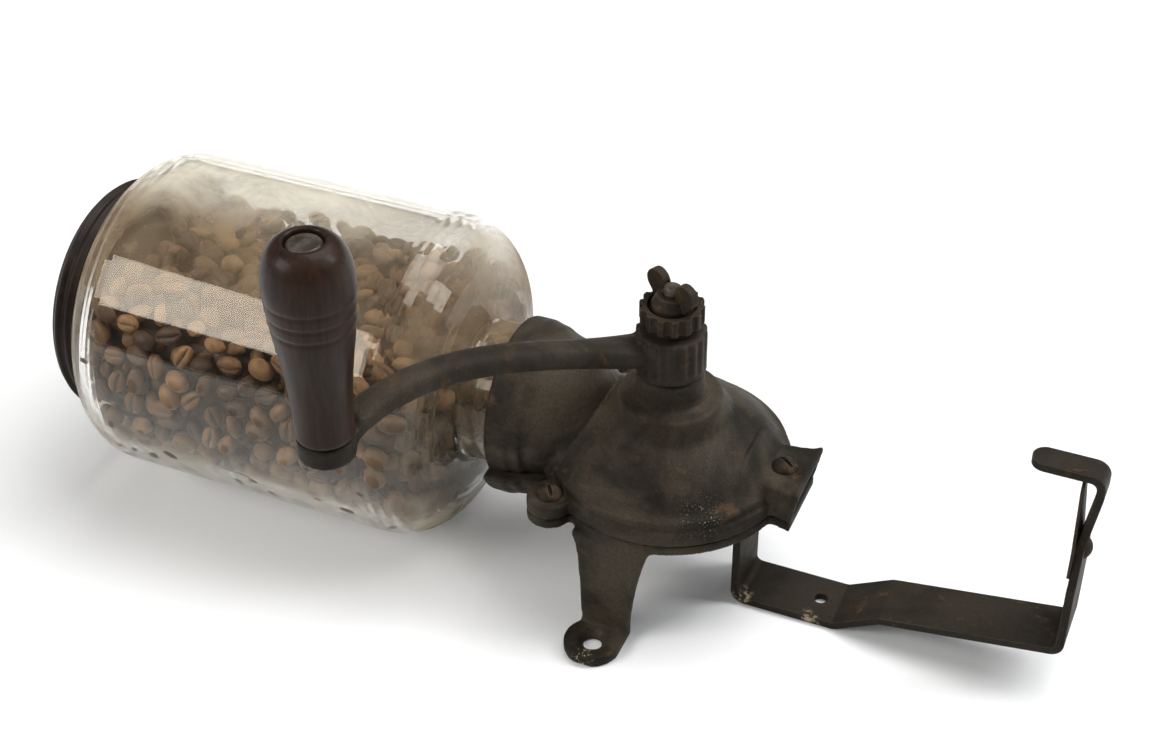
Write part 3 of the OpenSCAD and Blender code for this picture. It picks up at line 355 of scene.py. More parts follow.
def dusty_glass():
    """Clear jar glass whose inner face carries a film of coffee dust, its tone with painted light along
    the top and a painted reflection low down.
    """
    s = Shader("dusty_glass")
    x, y, z = s.parts()
    up = s.minus(z, JAR_AXIS_Z * MM)
    radius = s.maths("SQRT", s.plus(s.times(y, y), s.times(up, up)))
    inside = s.zone(radius, JAR_IN_R + 0.8, JAR_IN_R + 2.6, 1.0, 0.0)
    mottle = s.noise(38.0, 7.0, 0.68, distortion=0.7)
    specks = s.noise(420.0, 3.0, 0.6)
    prints = s.ramp(s.cells(104.0), 0.30, 0.62, 1.0, 0.0)
    aside = s.minus(DUST_RIDGE * MM, s.maths("ABSOLUTE", s.minus(y, DUST_RIDGE * MM)))
    rise = s.plus(s.times(up, math.cos(DUST_LEAN)), s.times(aside, math.sin(DUST_LEAN)))

    high = s.zone(rise, -10.0, 18.0, 0.0, 0.52)
    high = s.times(high, s.zone(x, -150.0, -95.0, 1.0, 0.68))
    low = s.zone(rise, -40.0, -57.0, 0.0, 0.62)
    neck_end = s.zone(x, -82.0, -70.0, 0.0, 0.12)
    mouth_end = s.zone(x, -194.0, -214.0, 0.0, 0.18)
    film = s.plus(s.plus(high, low), s.plus(neck_end, mouth_end))
    film = s.times(film, s.ramp(mottle, 0.30, 0.66, 0.55, 1.25))
    slant = s.node("ShaderNodeLayerWeight", None, Blend=0.5)
    film = s.plus(film, s.ramp(slant.outputs["Facing"], 0.66, 0.97, 0.0, 0.45))
    film = s.plus(film, s.ramp(specks, 0.68, 0.76, 0.0, 0.35))
    film = s.maths("MINIMUM", s.times(film, inside), 0.92)

    # Pale low down, as dust and a painted reflection, and browner towards the middle.
    tone = s.mix(s.zone(rise, -40.0, 0.0), DUST_AND_REFLECTION_PALE, DUST_BROWN)
    tone = s.mix(s.times(prints, 0.7), tone, DUST_PRINT)
    tone = s.mix(s.ramp(mottle, 0.40, 0.70, 0.0, 0.6), tone, DUST_MOTTLE)
    # Painted light: the film's tone turns cream along the jar's top, less so towards the neck.
    top_light_share = s.times(s.zone(rise, 30.0, 55.0), s.zone(x, -140.0, -90.0, 1.0, 0.55))
    tone = s.mix(top_light_share, tone, PAINTED_TOP_LIGHT)

    clear = s.principled(
        Base_Color=rgb(0.985, 0.985, 0.965),
        Roughness=0.015,
        IOR=1.37,
        Transmission_Weight=1.0,
        Specular_IOR_Level=0.20,
        Specular_Tint=rgb(1.0, 0.92, 0.80),
        Normal=s.bump(s.noise(16.0, 2.0, 0.4), 0.6, 0.10),
    )
    dust = s.node("ShaderNodeBsdfDiffuse", None, Color=tone, Roughness=0.5)
    glow = s.node("ShaderNodeBsdfTranslucent", None, Color=tone)
    layer = s.blend(0.35, dust.outputs["BSDF"], glow.outputs["BSDF"])
    path = s.node("ShaderNodeLightPath")
    through = s.node("ShaderNodeBsdfTransparent", None, Color=rgb(0.90, 0.90, 0.88))
    glass = s.blend(film, clear, layer)
    return s.surface(s.blend(path.outputs["Is Shadow Ray"], glass, through.outputs["BSDF"]))


def roasted():
    """Medium roast with a different tone on each bean and painted shade in its groove."""
    s = Shader("roasted_beans")
    tone = s.node("ShaderNodeAttribute", {"attribute_name": "tone"}).outputs["Fac"]
    crease_shade = s.node("ShaderNodeAttribute", {"attribute_name": "crease_shade"}).outputs["Fac"]
    blotch = s.noise(260.0, 5.0, 0.6)
    fine = s.noise(1400.0, 3.0, 0.6)
    colour = s.mix(s.ramp(tone, 0.0, 0.6), rgb(0.032, 0.0145, 0.0052), rgb(0.100, 0.0480, 0.0165))
    colour = s.mix(s.ramp(tone, 0.6, 1.0), colour, rgb(0.190, 0.100, 0.041))
    colour = s.mix(s.ramp(blotch, 0.40, 0.68, 0.0, 0.45), colour, rgb(0.052, 0.0240, 0.0110))
    # Painted shade: each bean's groove is darkened, and the heap's core with it.
    colour = s.mix(s.times(crease_shade, 0.8), colour, rgb(0.030, 0.014, 0.007))
    shader = s.principled(
        Base_Color=colour,
        Roughness=s.ramp(blotch, 0.3, 0.7, 0.46, 0.64),
        Specular_IOR_Level=0.28,
        Normal=s.bump(s.plus(fine, blotch), 0.22, 0.6),
    )
    return s.surface(shader)


# Finishes of the solids
PIN_X, PIN_Y = upright_axis("handle_pin")
PIN_FOOT_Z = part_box("handle_pin")[0][2] / MM

CASING_SPOTS = (
    ((36.0, -37.0, 62.0), 4.0, 14.0, 0.60, 0.68, 1400.0, PALE),
    ((0.0, -64.0, 2.0), 1.0, 6.0, 0.54, 0.60, 420.0, PLASTER),
)
STRAP_SPOTS = (
    ((42.0, -11.0, 0.0), 2.0, 8.0, 0.50, 0.58, 380.0, PLASTER),
    ((70.0, -11.0, 0.0), 1.0, 6.0, 0.50, 0.58, 380.0, PLASTER),
)
# Painted shade: the crank's eye round the pin's foot is darkened to the dark cast tone, as the handle's
# shadow on it.
EYE_SHADE_SPOTS = (
    ((PIN_X, PIN_Y, PIN_FOOT_Z), 9.0, 17.0, 0.22, 0.34, 60.0, CAST_DARK),
)

cast_iron = iron("cast_iron", CAST_DARK, CAST_MID, 0.10, 0.26, CASING_SPOTS)
# The crank's iron carries the painted shade on its eye.
crank_iron = iron(
    "crank_iron", rgb(0.022, 0.0172, 0.0120), rgb(0.053, 0.0415, 0.0300), 0.10, 0.24, EYE_SHADE_SPOTS)
nut_iron = iron(
    "nut_iron", rgb(0.017, 0.0128, 0.0082), rgb(0.043, 0.0325, 0.0215), 0.13, 0.20)
strap_steel = iron(
    "strap_steel", rgb(0.0125, 0.0098, 0.0067), rgb(0.031, 0.0245, 0.0174), 0.12, 0.12, STRAP_SPOTS)
spring_steel = iron(
    "spring_steel", rgb(0.034, 0.026, 0.021), rgb(0.066, 0.048, 0.038), 0.14, 0.10)
fastener_steel = iron(
    "fastener_steel", rgb(0.015, 0.0112, 0.0076), rgb(0.037, 0.0278, 0.0190), 0.16, 0.12)
burr_iron = iron(
    "burr_iron", rgb(0.085, 0.078, 0.070), rgb(0.15, 0.138, 0.125), 0.04, 0.10)
shaft_steel = worn_steel("shaft_steel", rgb(0.045, 0.034, 0.027), rgb(0.12, 0.098, 0.080))

FINISHES = {
    "glass_jar": dusty_glass(),
    "jar_cap": cap_lacquer(),
    "rear_casing": cast_iron,
    "front_cover": cast_iron,
    "cover_screw_near": fastener_steel,
    "cover_screw_far": fastener_steel,
    "cover_screw_spout": fastener_steel,
    "outer_burr": burr_iron,
    "inner_burr": burr_iron,
    "burr_pin": shaft_steel,
    "drive_shaft": shaft_steel,
    "crank_arm": crank_iron,
    "handle_pin": shaft_steel,
    "wooden_handle": old_wood(),
    "adjusting_nut": nut_iron,
    "wing_nut": nut_iron,
    "bracket_strap": strap_steel,
    "strap_rivet_near": fastener_steel,
    "strap_rivet_far": fastener_steel,
    "cup_spring": spring_steel,
    "leaf_rivet": fastener_steel,
}

for node_name, finish in FINISHES.items():
    slots = nodes[node_name].data.materials
    slots.clear()
    slots.append(finish)


def new_piece(name, mesh, body, material):
    piece = bpy.data.objects.new(name, mesh)
    scene.collection.objects.link(piece)
    mesh.materials.append(material)
    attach(piece, body)
    return piece


# Castings with soft edges and filled corners, shaped from even copies of their solids
class Casting:
    """A finely meshed copy of a node, in mm, with the steps that shape it."""

    NORMALS_EVERY = 8

    def __init__(self, node, grid):
        copy = bpy.data.objects.new(node + "_copy", nodes[node].data.copy())
        scene.collection.objects.link(copy)
        remesh = copy.modifiers.new("even", "REMESH")
        remesh.mode = "VOXEL"
        remesh.voxel_size = grid * MM
        graph = bpy.context.evaluated_depsgraph_get()
        self.mesh = bpy.data.meshes.new_from_object(copy.evaluated_get(graph))
        bpy.data.objects.remove(copy)
        self.count = len(self.mesh.vertices)
        points = np.empty(self.count * 3)
        self.mesh.vertices.foreach_get("co", points)
        self.points = points.reshape(-1, 3) / MM
        edges = np.empty(len(self.mesh.edges) * 2, dtype=np.int32)
        self.mesh.edges.foreach_get("vertices", edges)
        self.edges = edges.reshape(-1, 2)
        self.degree = np.bincount(edges, minlength=self.count)[:, None]

    def mean(self):
        """The middle of each point's neighbours."""
        first, second = self.edges[:, 0], self.edges[:, 1]
        total = np.empty_like(self.points)
        for k in range(3):
            values = self.points[:, k]
            total[:, k] = np.bincount(first, values[second], self.count)
            total[:, k] += np.bincount(second, values[first], self.count)
        return total / self.degree

    def smooth(self, rounds):
        for _ in range(rounds):
            self.points += 0.5 * (self.mean() - self.points)

    def normals(self):
        self.write()
        vectors = np.empty(self.count * 3, dtype=np.float32)
        self.mesh.vertex_normals.foreach_get("vector", vectors)
        return vectors.reshape(-1, 3)

    def fill(self, rounds, share):
        """Raises hollow corners only, as the fillets of a casting do."""
        for step in range(rounds):
            if step % self.NORMALS_EVERY == 0:
                normals = self.normals()
            hollow = np.sum((self.mean() - self.points) * normals, axis=1)
            self.points += normals * (np.maximum(hollow, 0.0) * share)[:, None]

    def away_from(self, places, reach):
        """1 away from upright axes at the places, 0 within reach of one."""
        clear = np.ones(self.count)
        for x, y in places:
            clear[np.hypot(self.points[:, 0] - x, self.points[:, 1] - y) < reach] = 0.0
        return clear

    def write(self):
        self.mesh.vertices.foreach_set("co", (self.points * MM).ravel())
        self.mesh.update()

    def piece(self, name, body, slot, node):
        """Makes the copy a piece that stands for the node."""
        self.write()
        self.mesh.materials.clear()
        self.mesh.polygons.foreach_set("use_smooth", [True] * len(self.mesh.polygons))
        made = new_piece(name, self.mesh, body, FINISHES[node])
        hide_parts(node)


# The dome's rounder arc and the bell-shaped foot of the boss, in mm
DOME_ARC_R = 55.0
SHOULDER_R = 24.4
SHOULDER_Z = 75.5
BELL_BEND = 1.6
DOME_SKIN = 1.0
DOME_FADE = 5.0
SPOUT_FROM = 33.0
SPOUT_HALF_W = 20.0
COVER_SCREWS = ("cover_screw_near", "cover_screw_far", "cover_screw_spout")
SCREW_CLEAR = 6.5
BOSS_BLEND = 4.0
BOSS_SHARE = 0.04
UPWARD_FROM = 0.02
UPWARD_GAIN = 8.0
HUB_CLEAR = 13.2
PIN_CLEAR = 7.5
FOOT_CLEAR = 7.5
FOOT_LAP = 0.3
PLATE_GAP = 2.0
GRIP_BORE = 7.5


def dome_arc(radius, top, bend):
    """Height of an arc from the dome's foot to the point top, at a distance from the crank axis."""
    foot = np.array((DOME_FOOT_R, RIM_Z))
    end = np.array(top)
    chord = end - foot
    half = np.hypot(*chord) / 2
    inward = np.array((-chord[1], chord[0])) / (2 * half)
    middle = (foot + end) / 2 + inward * math.sqrt(bend * bend - half * half)
    return middle[1] + np.sqrt(np.maximum(0.0, bend * bend - (radius - middle[0]) ** 2))


def cover_casting():
    """Front cover with a bell-shaped foot under the boss and a round dome that runs into the throat."""
    cast = Casting("front_cover", grid=0.8)
    p = cast.points
    radius = np.hypot(p[:, 0] - CRANK_X, p[:, 1])
    solid = dome_arc(radius, (BOSS_FOOT_R, BOSS_FOOT_Z), SOLID_ARC_R)
    wanted = dome_arc(radius, (SHOULDER_R, SHOULDER_Z), DOME_ARC_R)
    climb = np.clip((SHOULDER_R - radius) / (SHOULDER_R - BOSS_FOOT_R), 0.0, 1.0)
    bell = SHOULDER_Z + (BOSS_FOOT_Z - SHOULDER_Z) * climb ** BELL_BEND
    wanted = np.where(radius < SHOULDER_R, bell, wanted)
    on_dome = (radius > BOSS_FOOT_R) & (radius < DOME_FOOT_R) & (p[:, 2] < solid + DOME_SKIN)
    on_spout = (p[:, 0] > CRANK_X + SPOUT_FROM) & (np.abs(p[:, 1]) < SPOUT_HALF_W)
    fade = np.clip((p[:, 2] - RIM_Z) / DOME_FADE, 0.0, 1.0)
    p[:, 2] += np.where(on_dome & ~on_spout, (wanted - solid) * fade, 0.0)
    cast.smooth(2)
    upward = np.clip((cast.normals()[:, 2] - UPWARD_FROM) * UPWARD_GAIN, 0.0, 1.0)
    screws = [upright_axis(node) for node in COVER_SCREWS]
    share = upward * (cast.points[:, 2] > RIM_Z) * cast.away_from(screws, SCREW_CLEAR)
    share *= np.clip((radius - SHOULDER_R) / BOSS_BLEND, BOSS_SHARE, 1.0)
    cast.fill(70, share)
    cast.smooth(1)
    cast.piece("cover_casting", "base", "casing_iron", "front_cover")


def arm_casting():
    """Crank arm whose bar runs into the hub and the eye with soft corners."""
    cast = Casting("crank_arm", grid=0.7)
    cast.smooth(2)
    share = cast.away_from([(CRANK_X, 0.0)], HUB_CLEAR)
    share *= cast.away_from([(PIN_X, PIN_Y)], PIN_CLEAR)
    cast.fill(40, share)
    cast.smooth(1)
    cast.piece("arm_casting", "crank", "crank_iron", "crank_arm")


def rear_casting():
    """Rear casting with soft edges and filled corners between the legs and their feet."""
    cast = Casting("rear_casing", grid=0.8)
    cast.smooth(2)
    height = cast.points[:, 2]
    feet = ((0.0, -FOOT_Y), (0.0, FOOT_Y))
    on_legs = (height > FOOT_T - FOOT_LAP) & (height < PLATE_Z - PLATE_GAP)
    cast.fill(24, on_legs * cast.away_from(feet, FOOT_CLEAR))
    cast.piece("rear_casting", "base", "casing_iron", "rear_casing")


def turned_handle():
    """Grip whose turned rings are worn to shallow waves."""
    cast = Casting("wooden_handle", grid=0.5)
    cast.smooth(1)
    x, y = upright_axis("wooden_handle")
    outside = np.hypot(cast.points[:, 0] - x, cast.points[:, 1] - y) > GRIP_BORE
    cast.fill(10, outside * 1.0)
    cast.smooth(1)
    cast.piece("turned_handle", "handle", "handle_wood", "wooden_handle")


cover_casting()
arm_casting()
rear_casting()
turned_handle()


# Loose coffee beans, which fill the neck and about three quarters of the lying jar, in mm
FILL_LO = -212.6
FILL_HI = -72.4
NECK_TO = -46.0
BEAN_LEVEL = 90.5
BEAN_SLOPE = -0.0822
HUMP_H = 3.0
HUMP_PITCH = 18.0
HUMP_ROW = 0.95 * HUMP_PITCH
HUMP_BALL = (HUMP_PITCH ** 2 / 5 + HUMP_H ** 2) / (2 * HUMP_H)
BEAN_LONG = 9.8
BEAN_WIDE = 7.2
BEAN_THICK = 5.4
DOME_SHARE = 0.64
FLAT_SHARE = 0.36
BEAN_RINGS = 9
SEED = 7
WALL_THROWS = 90000
NECK_THROWS = 12000
TOP_THROWS = 16000
INNER_THROWS = 60000
WALL_REACH = 7.0
WALL_TILT = 0.38
NECK_LEAD = 8.0
NECK_REACH = 6.0
NECK_TILT = 0.6
TOP_HALF_W = 56.0
TOP_NEAR = 2.4
TOP_FAR = 5.0
TOP_TILT = 0.55
INNER_HALF_W = 52.0
INNER_LOW = 8.0
INNER_WALL = 11.0
INNER_TOP = 10.0
INNER_TILT = 1.5
BEAN_ROOM = 3.0
SEAT = 3.1
CORE_DEPTH = 8.0
CORE_SHY = 3.0
CORE_R = 50.0
CORE_ROWS = 22
CORE_TURNS = 40


def heap_top(x, y):
    """Height of the heap's top: a sloping plane with low round humps."""
    row = round(y / HUMP_ROW)
    shift = 0.25 + 0.5 * (abs(row) % 2)
    step = round((x - JAR_BODY_LO) / HUMP_PITCH - shift)
    away = math.hypot(x - JAR_BODY_LO - (step + shift) * HUMP_PITCH, y - row * HUMP_ROW)
    hump = math.sqrt(max(0.0, HUMP_BALL ** 2 - away ** 2)) - HUMP_BALL + HUMP_H
    return BEAN_LEVEL + BEAN_SLOPE * y + max(0.0, hump)


def bean_section():
    """Points round a bean's middle as across, height and share of painted groove shade: domed above, flat
    below.
    """
    half_wide = BEAN_WIDE / 2
    dome = BEAN_THICK * DOME_SHARE
    flat = BEAN_THICK * FLAT_SHARE
    section = []
    for i in range(9):
        angle = math.pi * i / 8
        section.append((half_wide * math.cos(angle), dome * math.sin(angle), 0.0))
    section += [
        (-half_wide * 0.86, -flat * 0.62, 0.0),
        (-half_wide * 0.52, -flat * 0.96, 0.0),
        (-half_wide * 0.15, -flat * 0.98, 0.15),
        (0.0, -flat * 0.30, 1.0),
        (half_wide * 0.15, -flat * 0.98, 0.15),
        (half_wide * 0.52, -flat * 0.96, 0.0),
        (half_wide * 0.86, -flat * 0.62, 0.0),
    ]
    return section


def bean_mesh(bend):
    """One bean as rings of points along its length, with a groove that sways by bend, and the painted
    shade share of each point.
    """
    half_long = BEAN_LONG / 2
    section = bean_section()
    points = []
    crease_shade = []
    for k in range(1, BEAN_RINGS):
        along = math.cos(math.pi * k / BEAN_RINGS)
        swell = math.sqrt(max(0.0, 1.0 - along * along)) ** 0.85
        sway = bend * math.sin(along * math.pi * 0.9)
        for across, height, shade_share in section:
            shift = sway if height < 0 else 0.0
            points.append((half_long * along, across * swell + shift * swell, height * swell))
            crease_shade.append(shade_share)
    first = len(points)
    points += [(half_long, 0.0, 0.0), (-half_long, 0.0, 0.0)]
    crease_shade += [0.0, 0.0]
    count = len(section)
    faces = []
    for k in range(BEAN_RINGS - 2):
        for i in range(count):
            j = (i + 1) % count
            a = k * count
            b = a + count
            faces.append((a + i, a + j, b + j))
            faces.append((a + i, b + j, b + i))
    last = (BEAN_RINGS - 2) * count
    for i in range(count):
        j = (i + 1) % count
        faces.append((first, j, i))
        faces.append((first + 1, last + i, last + j))
    return np.array(points), np.array(faces), np.array(crease_shade)


def round_corner(x, rho, side, end, fillet):
    """Distance to the round shoulder that starts at end, and the direction towards it."""
    ring = JAR_IN_R - fillet
    reach = math.hypot(x - end, rho - ring)
    return fillet - reach, Vector((x - end, 0, 0)) / reach + side * ((rho - ring) / reach)


def wall_gap(p):
    """Distance from a point to the inside of the glass, and the direction towards it, in mm."""
    x, y, z = p
    up = z - JAR_AXIS_Z
    rho = math.hypot(y, up) or 1e-6
    side = Vector((0.0, y / rho, up / rho))
    if x > JAR_BODY_HI:
        if x > FILL_HI and rho < NECK_IN_R:
            return min(NECK_IN_R - rho, NECK_TO - x), side
        if rho < NECK_IN_R:
            return math.hypot(FILL_HI - x, NECK_IN_R - rho), side
        if rho <= JAR_IN_R - NECK_FILLET:
            return FILL_HI - x, Vector((1.0, 0.0, 0.0))
        return round_corner(x, rho, side, JAR_BODY_HI, NECK_FILLET)
    if x < JAR_BODY_LO:
        if rho <= JAR_IN_R - MOUTH_FILLET:
            return x - FILL_LO, Vector((-1.0, 0.0, 0.0))
        return round_corner(x, rho, side, JAR_BODY_LO, MOUTH_FILLET)
    return JAR_IN_R - rho, side


class Heap:
    """Places beans one by one, each as two balls along its length that keep clear of the others."""

    CELL = 6.0
    CLEAR = 5.5
    REACH = 2.1
    WALL_GAP = 2.75
    TOP_GAP = 2.3

    def __init__(self, seed):
        self.dice = random.Random(seed)
        self.cells = {}
        self.beans = []

    def cell(self, ball):
        return tuple(int(math.floor(v / self.CELL)) for v in ball)

    def free(self, ball):
        a, b, c = self.cell(ball)
        for dx in (-1, 0, 1):
            for dy in (-1, 0, 1):
                for dz in (-1, 0, 1):
                    for other in self.cells.get((a + dx, b + dy, c + dz), ()):
                        if (other - ball).length_squared < self.CLEAR * self.CLEAR:
                            return False
        return True

    def add(self, at, face, tilt):
        """Tries a bean at a point with its flat or domed side turned towards face."""
        dice = self.dice
        lean = Vector([dice.gauss(0, tilt) for _ in range(3)])
        normal = (face + lean).normalized()
        along = normal.cross(Vector([dice.gauss(0, 1) for _ in range(3)])).normalized()
        balls = [at + along * self.REACH, at - along * self.REACH]
        for ball in balls:
            gap, _ = wall_gap(ball)
            if gap < self.WALL_GAP or ball.z > heap_top(ball.x, ball.y) - self.TOP_GAP:
                return
            if not self.free(ball):
                return
        for ball in balls:
            self.cells.setdefault(self.cell(ball), []).append(ball)
        flip = 1.0 if dice.random() < 0.55 else -1.0
        self.beans.append((at, along, normal * flip, dice.random(), dice.uniform(0.90, 1.08)))

    def throw(self, start, end, radius):
        """A random point in a round space about the jar's axis."""
        x = self.dice.uniform(start, end)
        angle = self.dice.uniform(0, 2 * math.pi)
        rho = radius * math.sqrt(self.dice.uniform(0, 1))
        return Vector((x, rho * math.cos(angle), JAR_AXIS_Z + rho * math.sin(angle)))


def fill_jar():
    """Beans against the glass first, then in the neck, on the heap's top and just inside."""
    heap = Heap(SEED)
    dice = heap.dice
    up = Vector((0.0, 0.0, 1.0))
    for _ in range(WALL_THROWS):
        at = heap.throw(FILL_LO, FILL_HI, JAR_IN_R)
        gap, face = wall_gap(at)
        if 0.0 < gap < WALL_REACH:
            heap.add(at + face * (gap - SEAT), face, WALL_TILT)
    for _ in range(NECK_THROWS):
        at = heap.throw(FILL_HI - NECK_LEAD, NECK_TO, NECK_IN_R)
        gap, face = wall_gap(at)
        if gap > 0.0:
            heap.add(at + face * (min(gap, NECK_REACH) - SEAT), face, NECK_TILT)
    for _ in range(TOP_THROWS):
        x = dice.uniform(FILL_LO, FILL_HI)
        y = dice.uniform(-TOP_HALF_W, TOP_HALF_W)
        at = Vector((x, y, heap_top(x, y) - dice.uniform(TOP_NEAR, TOP_FAR)))
        gap, _ = wall_gap(at)
        if gap > BEAN_ROOM:
            heap.add(at, up, TOP_TILT)
    for _ in range(INNER_THROWS):
        x = dice.uniform(FILL_LO, FILL_HI)
        y = dice.uniform(-INNER_HALF_W, INNER_HALF_W)
        at = Vector((x, y, dice.uniform(INNER_LOW, heap_top(x, y) - BEAN_ROOM)))
        gap, face = wall_gap(at)
        if gap > BEAN_ROOM and (gap < INNER_WALL or heap_top(x, y) - at.z < INNER_TOP):
            heap.add(at, face, INNER_TILT)
    return heap.beans


def heap_core():
    """Closed body of the heap, painted dark as the shade between the beans, one bean inside its outer
    layer, with a stem into the neck.
    """
    length = FILL_HI - FILL_LO - 2 * CORE_DEPTH
    stations = [FILL_LO + CORE_DEPTH + length * i / CORE_ROWS for i in range(CORE_ROWS + 1)]
    rings = [(x, False) for x in stations]
    rings += [(stations[-1], True), (NECK_TO - CORE_SHY, True)]
    points = []
    for x, in_neck in rings:
        for k in range(CORE_TURNS):
            angle = 2 * math.pi * k / CORE_TURNS
            side = Vector((0.0, math.cos(angle), math.sin(angle)))
            if in_neck:
                rho = NECK_IN_R - CORE_DEPTH
            else:
                gap, _ = wall_gap(Vector((x, 0.0, JAR_AXIS_Z)) + side * CORE_R)
                rho = CORE_R + min(0.0, gap - CORE_DEPTH)
            y = rho * side.y
            points.append((x, y, min(JAR_AXIS_Z + rho * side.z, heap_top(x, y) - CORE_DEPTH)))
    faces = []
    for i in range(len(rings) - 1):
        for k in range(CORE_TURNS):
            j = (k + 1) % CORE_TURNS
            a = i * CORE_TURNS
            b = a + CORE_TURNS
            faces.append((a + k, b + k, b + j))
            faces.append((a + k, b + j, a + j))
    last = (len(rings) - 1) * CORE_TURNS
    for k in range(1, CORE_TURNS - 1):
        faces.append((0, k, k + 1))
        faces.append((last, last + k + 1, last + k))
    return np.array(points), np.array(faces)


def bean_heap():
    """All beans and the core as one mesh, with a tone for each bean and the painted shade in its groove.
    """
    kinds = [bean_mesh(0.35), bean_mesh(-0.3), bean_mesh(0.1)]
    points = []
    faces = []
    tones = []
    crease_shades = []
    start = 0
    for number, (at, along, normal, tone, size) in enumerate(fill_jar()):
        shape, triangles, crease_shade = kinds[number % len(kinds)]
        side = normal.cross(along).normalized()
        turn = np.array([along, side, normal])
        points.append((shape * size) @ turn + np.array(at))
        faces.append(triangles + start)
        tones.append(np.full(len(shape), tone))
        crease_shades.append(crease_shade)
        start += len(shape)
    core, core_faces = heap_core()
    points.append(core)
    faces.append(core_faces + start)
    # Painted shade: the core takes the darkest tone and the full groove shade.
    tones.append(np.zeros(len(core)))
    crease_shades.append(np.ones(len(core)))
    mesh = bpy.data.meshes.new("bean_heap")
    mesh.from_pydata((np.concatenate(points) * MM).tolist(), [], np.concatenate(faces).tolist())
    for name, values in (("tone", tones), ("crease_shade", crease_shades)):
        layer = mesh.attributes.new(name, "FLOAT", "POINT")
        layer.data.foreach_set("value", np.concatenate(values).astype(np.float32))
    mesh.polygons.foreach_set("use_smooth", [True] * len(mesh.polygons))
    mesh.update()
    return mesh


heap = new_piece("bean_heap", bean_heap(), "base", roasted())
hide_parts("bean_fill")


# Thread on the shaft's end, above the wing nut, in mm
THREAD_CORE_R = 2.9
THREAD_CREST_R = 3.35
THREAD_PITCH = 1.0
THREAD_HALF = 0.42
THREAD_FROM = 128.3
THREAD_TURNS = 2.5
THREAD_STEPS = 24


def thread_mesh():
    """A ridge of triangular section along a right-handed helix, closed at both ends."""
    section = ((THREAD_CORE_R, -THREAD_HALF), (THREAD_CREST_R, 0.0), (THREAD_CORE_R, THREAD_HALF))
    count = int(THREAD_TURNS * THREAD_STEPS)
    points = []
    faces = [(2, 1, 0)]
    for k in range(count + 1):
        angle = 2 * math.pi * k / THREAD_STEPS
        height = THREAD_FROM + THREAD_PITCH * k / THREAD_STEPS
        for radius, rise in section:
            x = CRANK_X + radius * math.cos(angle)
            points.append((x * MM, radius * math.sin(angle) * MM, (height + rise) * MM))
    for k in range(count):
        for i in range(3):
            j = (i + 1) % 3
            faces.append((3 * k + i, 3 * k + j, 3 * k + 3 + j, 3 * k + 3 + i))
    last = 3 * count
    faces.append((last, last + 1, last + 2))
    mesh = bpy.data.meshes.new("shaft_thread")
    mesh.from_pydata(points, [], faces)
    mesh.update()
    return mesh


new_piece("shaft_thread", thread_mesh(), "spindle", shaft_steel)


# Floor, light and background, in metres
FLOOR_HALF = 6.0
FLOOR_DROP = 0.0002
FLOOR_BOUNCE = rgb(0.50, 0.495, 0.475)
NEAR_LIFT = 0.06
FAR_LIFT = 0.90
WORLD_LIGHT = 0.13
WORLD_SEEN = 1.0

LAMPS = (
    ("window_left", (-0.95, -0.95, 1.02), (-0.12, -0.02, 0.08), (0.85, 0.75), 16.0, (1.0, 0.985, 0.95)),
    ("back_window", (0.45, 0.75, 2.20), (-0.02, 0.0, 0.05), (1.7, 1.7), 47.0, (1.0, 0.99, 0.975)),
    ("right_fill", (1.05, 0.45, 1.05), (0.0, 0.0, 0.08), (0.40, 0.7), 11.0, (0.98, 0.99, 1.0)),
)


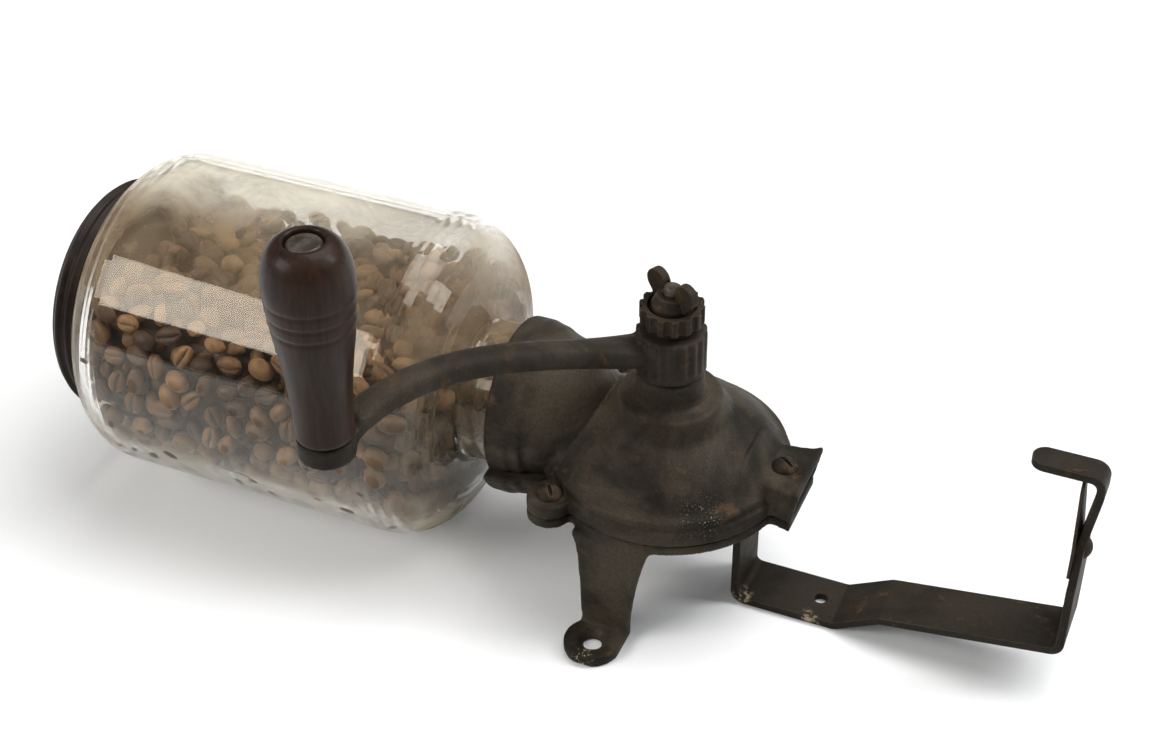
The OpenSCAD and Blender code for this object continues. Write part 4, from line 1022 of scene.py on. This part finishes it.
def floor_paper():
    """White paper to the camera, reflections and glass, plainer grey for the light it throws back."""
    s = Shader("floor")
    paper = s.noise(3.0, 3.0, 0.5)
    white = s.mix(s.ramp(paper, 0.3, 0.7), rgb(0.86, 0.865, 0.875), rgb(0.89, 0.893, 0.90))
    path = s.node("ShaderNodeLightPath")
    seen = s.maths("MAXIMUM", path.outputs["Is Camera Ray"], path.outputs["Is Glossy Ray"])
    seen = s.maths("MAXIMUM", seen, path.outputs["Is Transmission Ray"])
    base = s.node("ShaderNodeBsdfDiffuse", None, Color=s.mix(seen, FLOOR_BOUNCE, white))
    lift = s.ramp(s.near((0.0, 0.0, 0.0), 0.6, 1.8), 0.0, 1.0, FAR_LIFT, NEAR_LIFT)
    glow = s.node("ShaderNodeEmission", None, Color=rgb(0.985, 0.99, 1.0), Strength=s.times(seen, lift))
    both = s.node("ShaderNodeAddShader")
    s.put(both.inputs[0], base.outputs["BSDF"])
    s.put(both.inputs[1], glow.outputs["Emission"])
    return s.surface(both.outputs["Shader"])


def make_floor():
    mesh = bpy.data.meshes.new("floor")
    corners = [(x * FLOOR_HALF, y * FLOOR_HALF, 0) for x, y in ((-1, -1), (1, -1), (1, 1), (-1, 1))]
    mesh.from_pydata(corners, [], [(0, 1, 2, 3)])
    mesh.materials.append(floor_paper())
    floor = bpy.data.objects.new("floor", mesh)
    floor.location.z = cad_box[0][2] - FLOOR_DROP
    scene.collection.objects.link(floor)


def make_world():
    world = bpy.data.worlds.new("studio")
    world.use_nodes = True
    scene.world = world
    tree = world.node_tree
    background = tree.nodes["Background"]
    background.inputs["Color"].default_value = rgb(0.93, 0.96, 1.0)
    path = tree.nodes.new("ShaderNodeLightPath")
    level = tree.nodes.new("ShaderNodeMapRange")
    level.inputs["To Min"].default_value = WORLD_LIGHT
    level.inputs["To Max"].default_value = WORLD_SEEN
    tree.links.new(path.outputs["Is Camera Ray"], level.inputs["Value"])
    tree.links.new(level.outputs["Result"], background.inputs["Strength"])


def make_lamp(name, at, aim, size, power, tint):
    data = bpy.data.lights.new(name, "AREA")
    data.shape = "RECTANGLE"
    data.size = size[0]
    data.size_y = size[1]
    data.energy = power
    data.color = tint
    lamp = bpy.data.objects.new(name, data)
    lamp.location = at
    lamp.rotation_euler = (Vector(aim) - Vector(at)).to_track_quat("-Z", "Y").to_euler()
    scene.collection.objects.link(lamp)


make_floor()
make_world()
for lamp_values in LAMPS:
    make_lamp(*lamp_values)
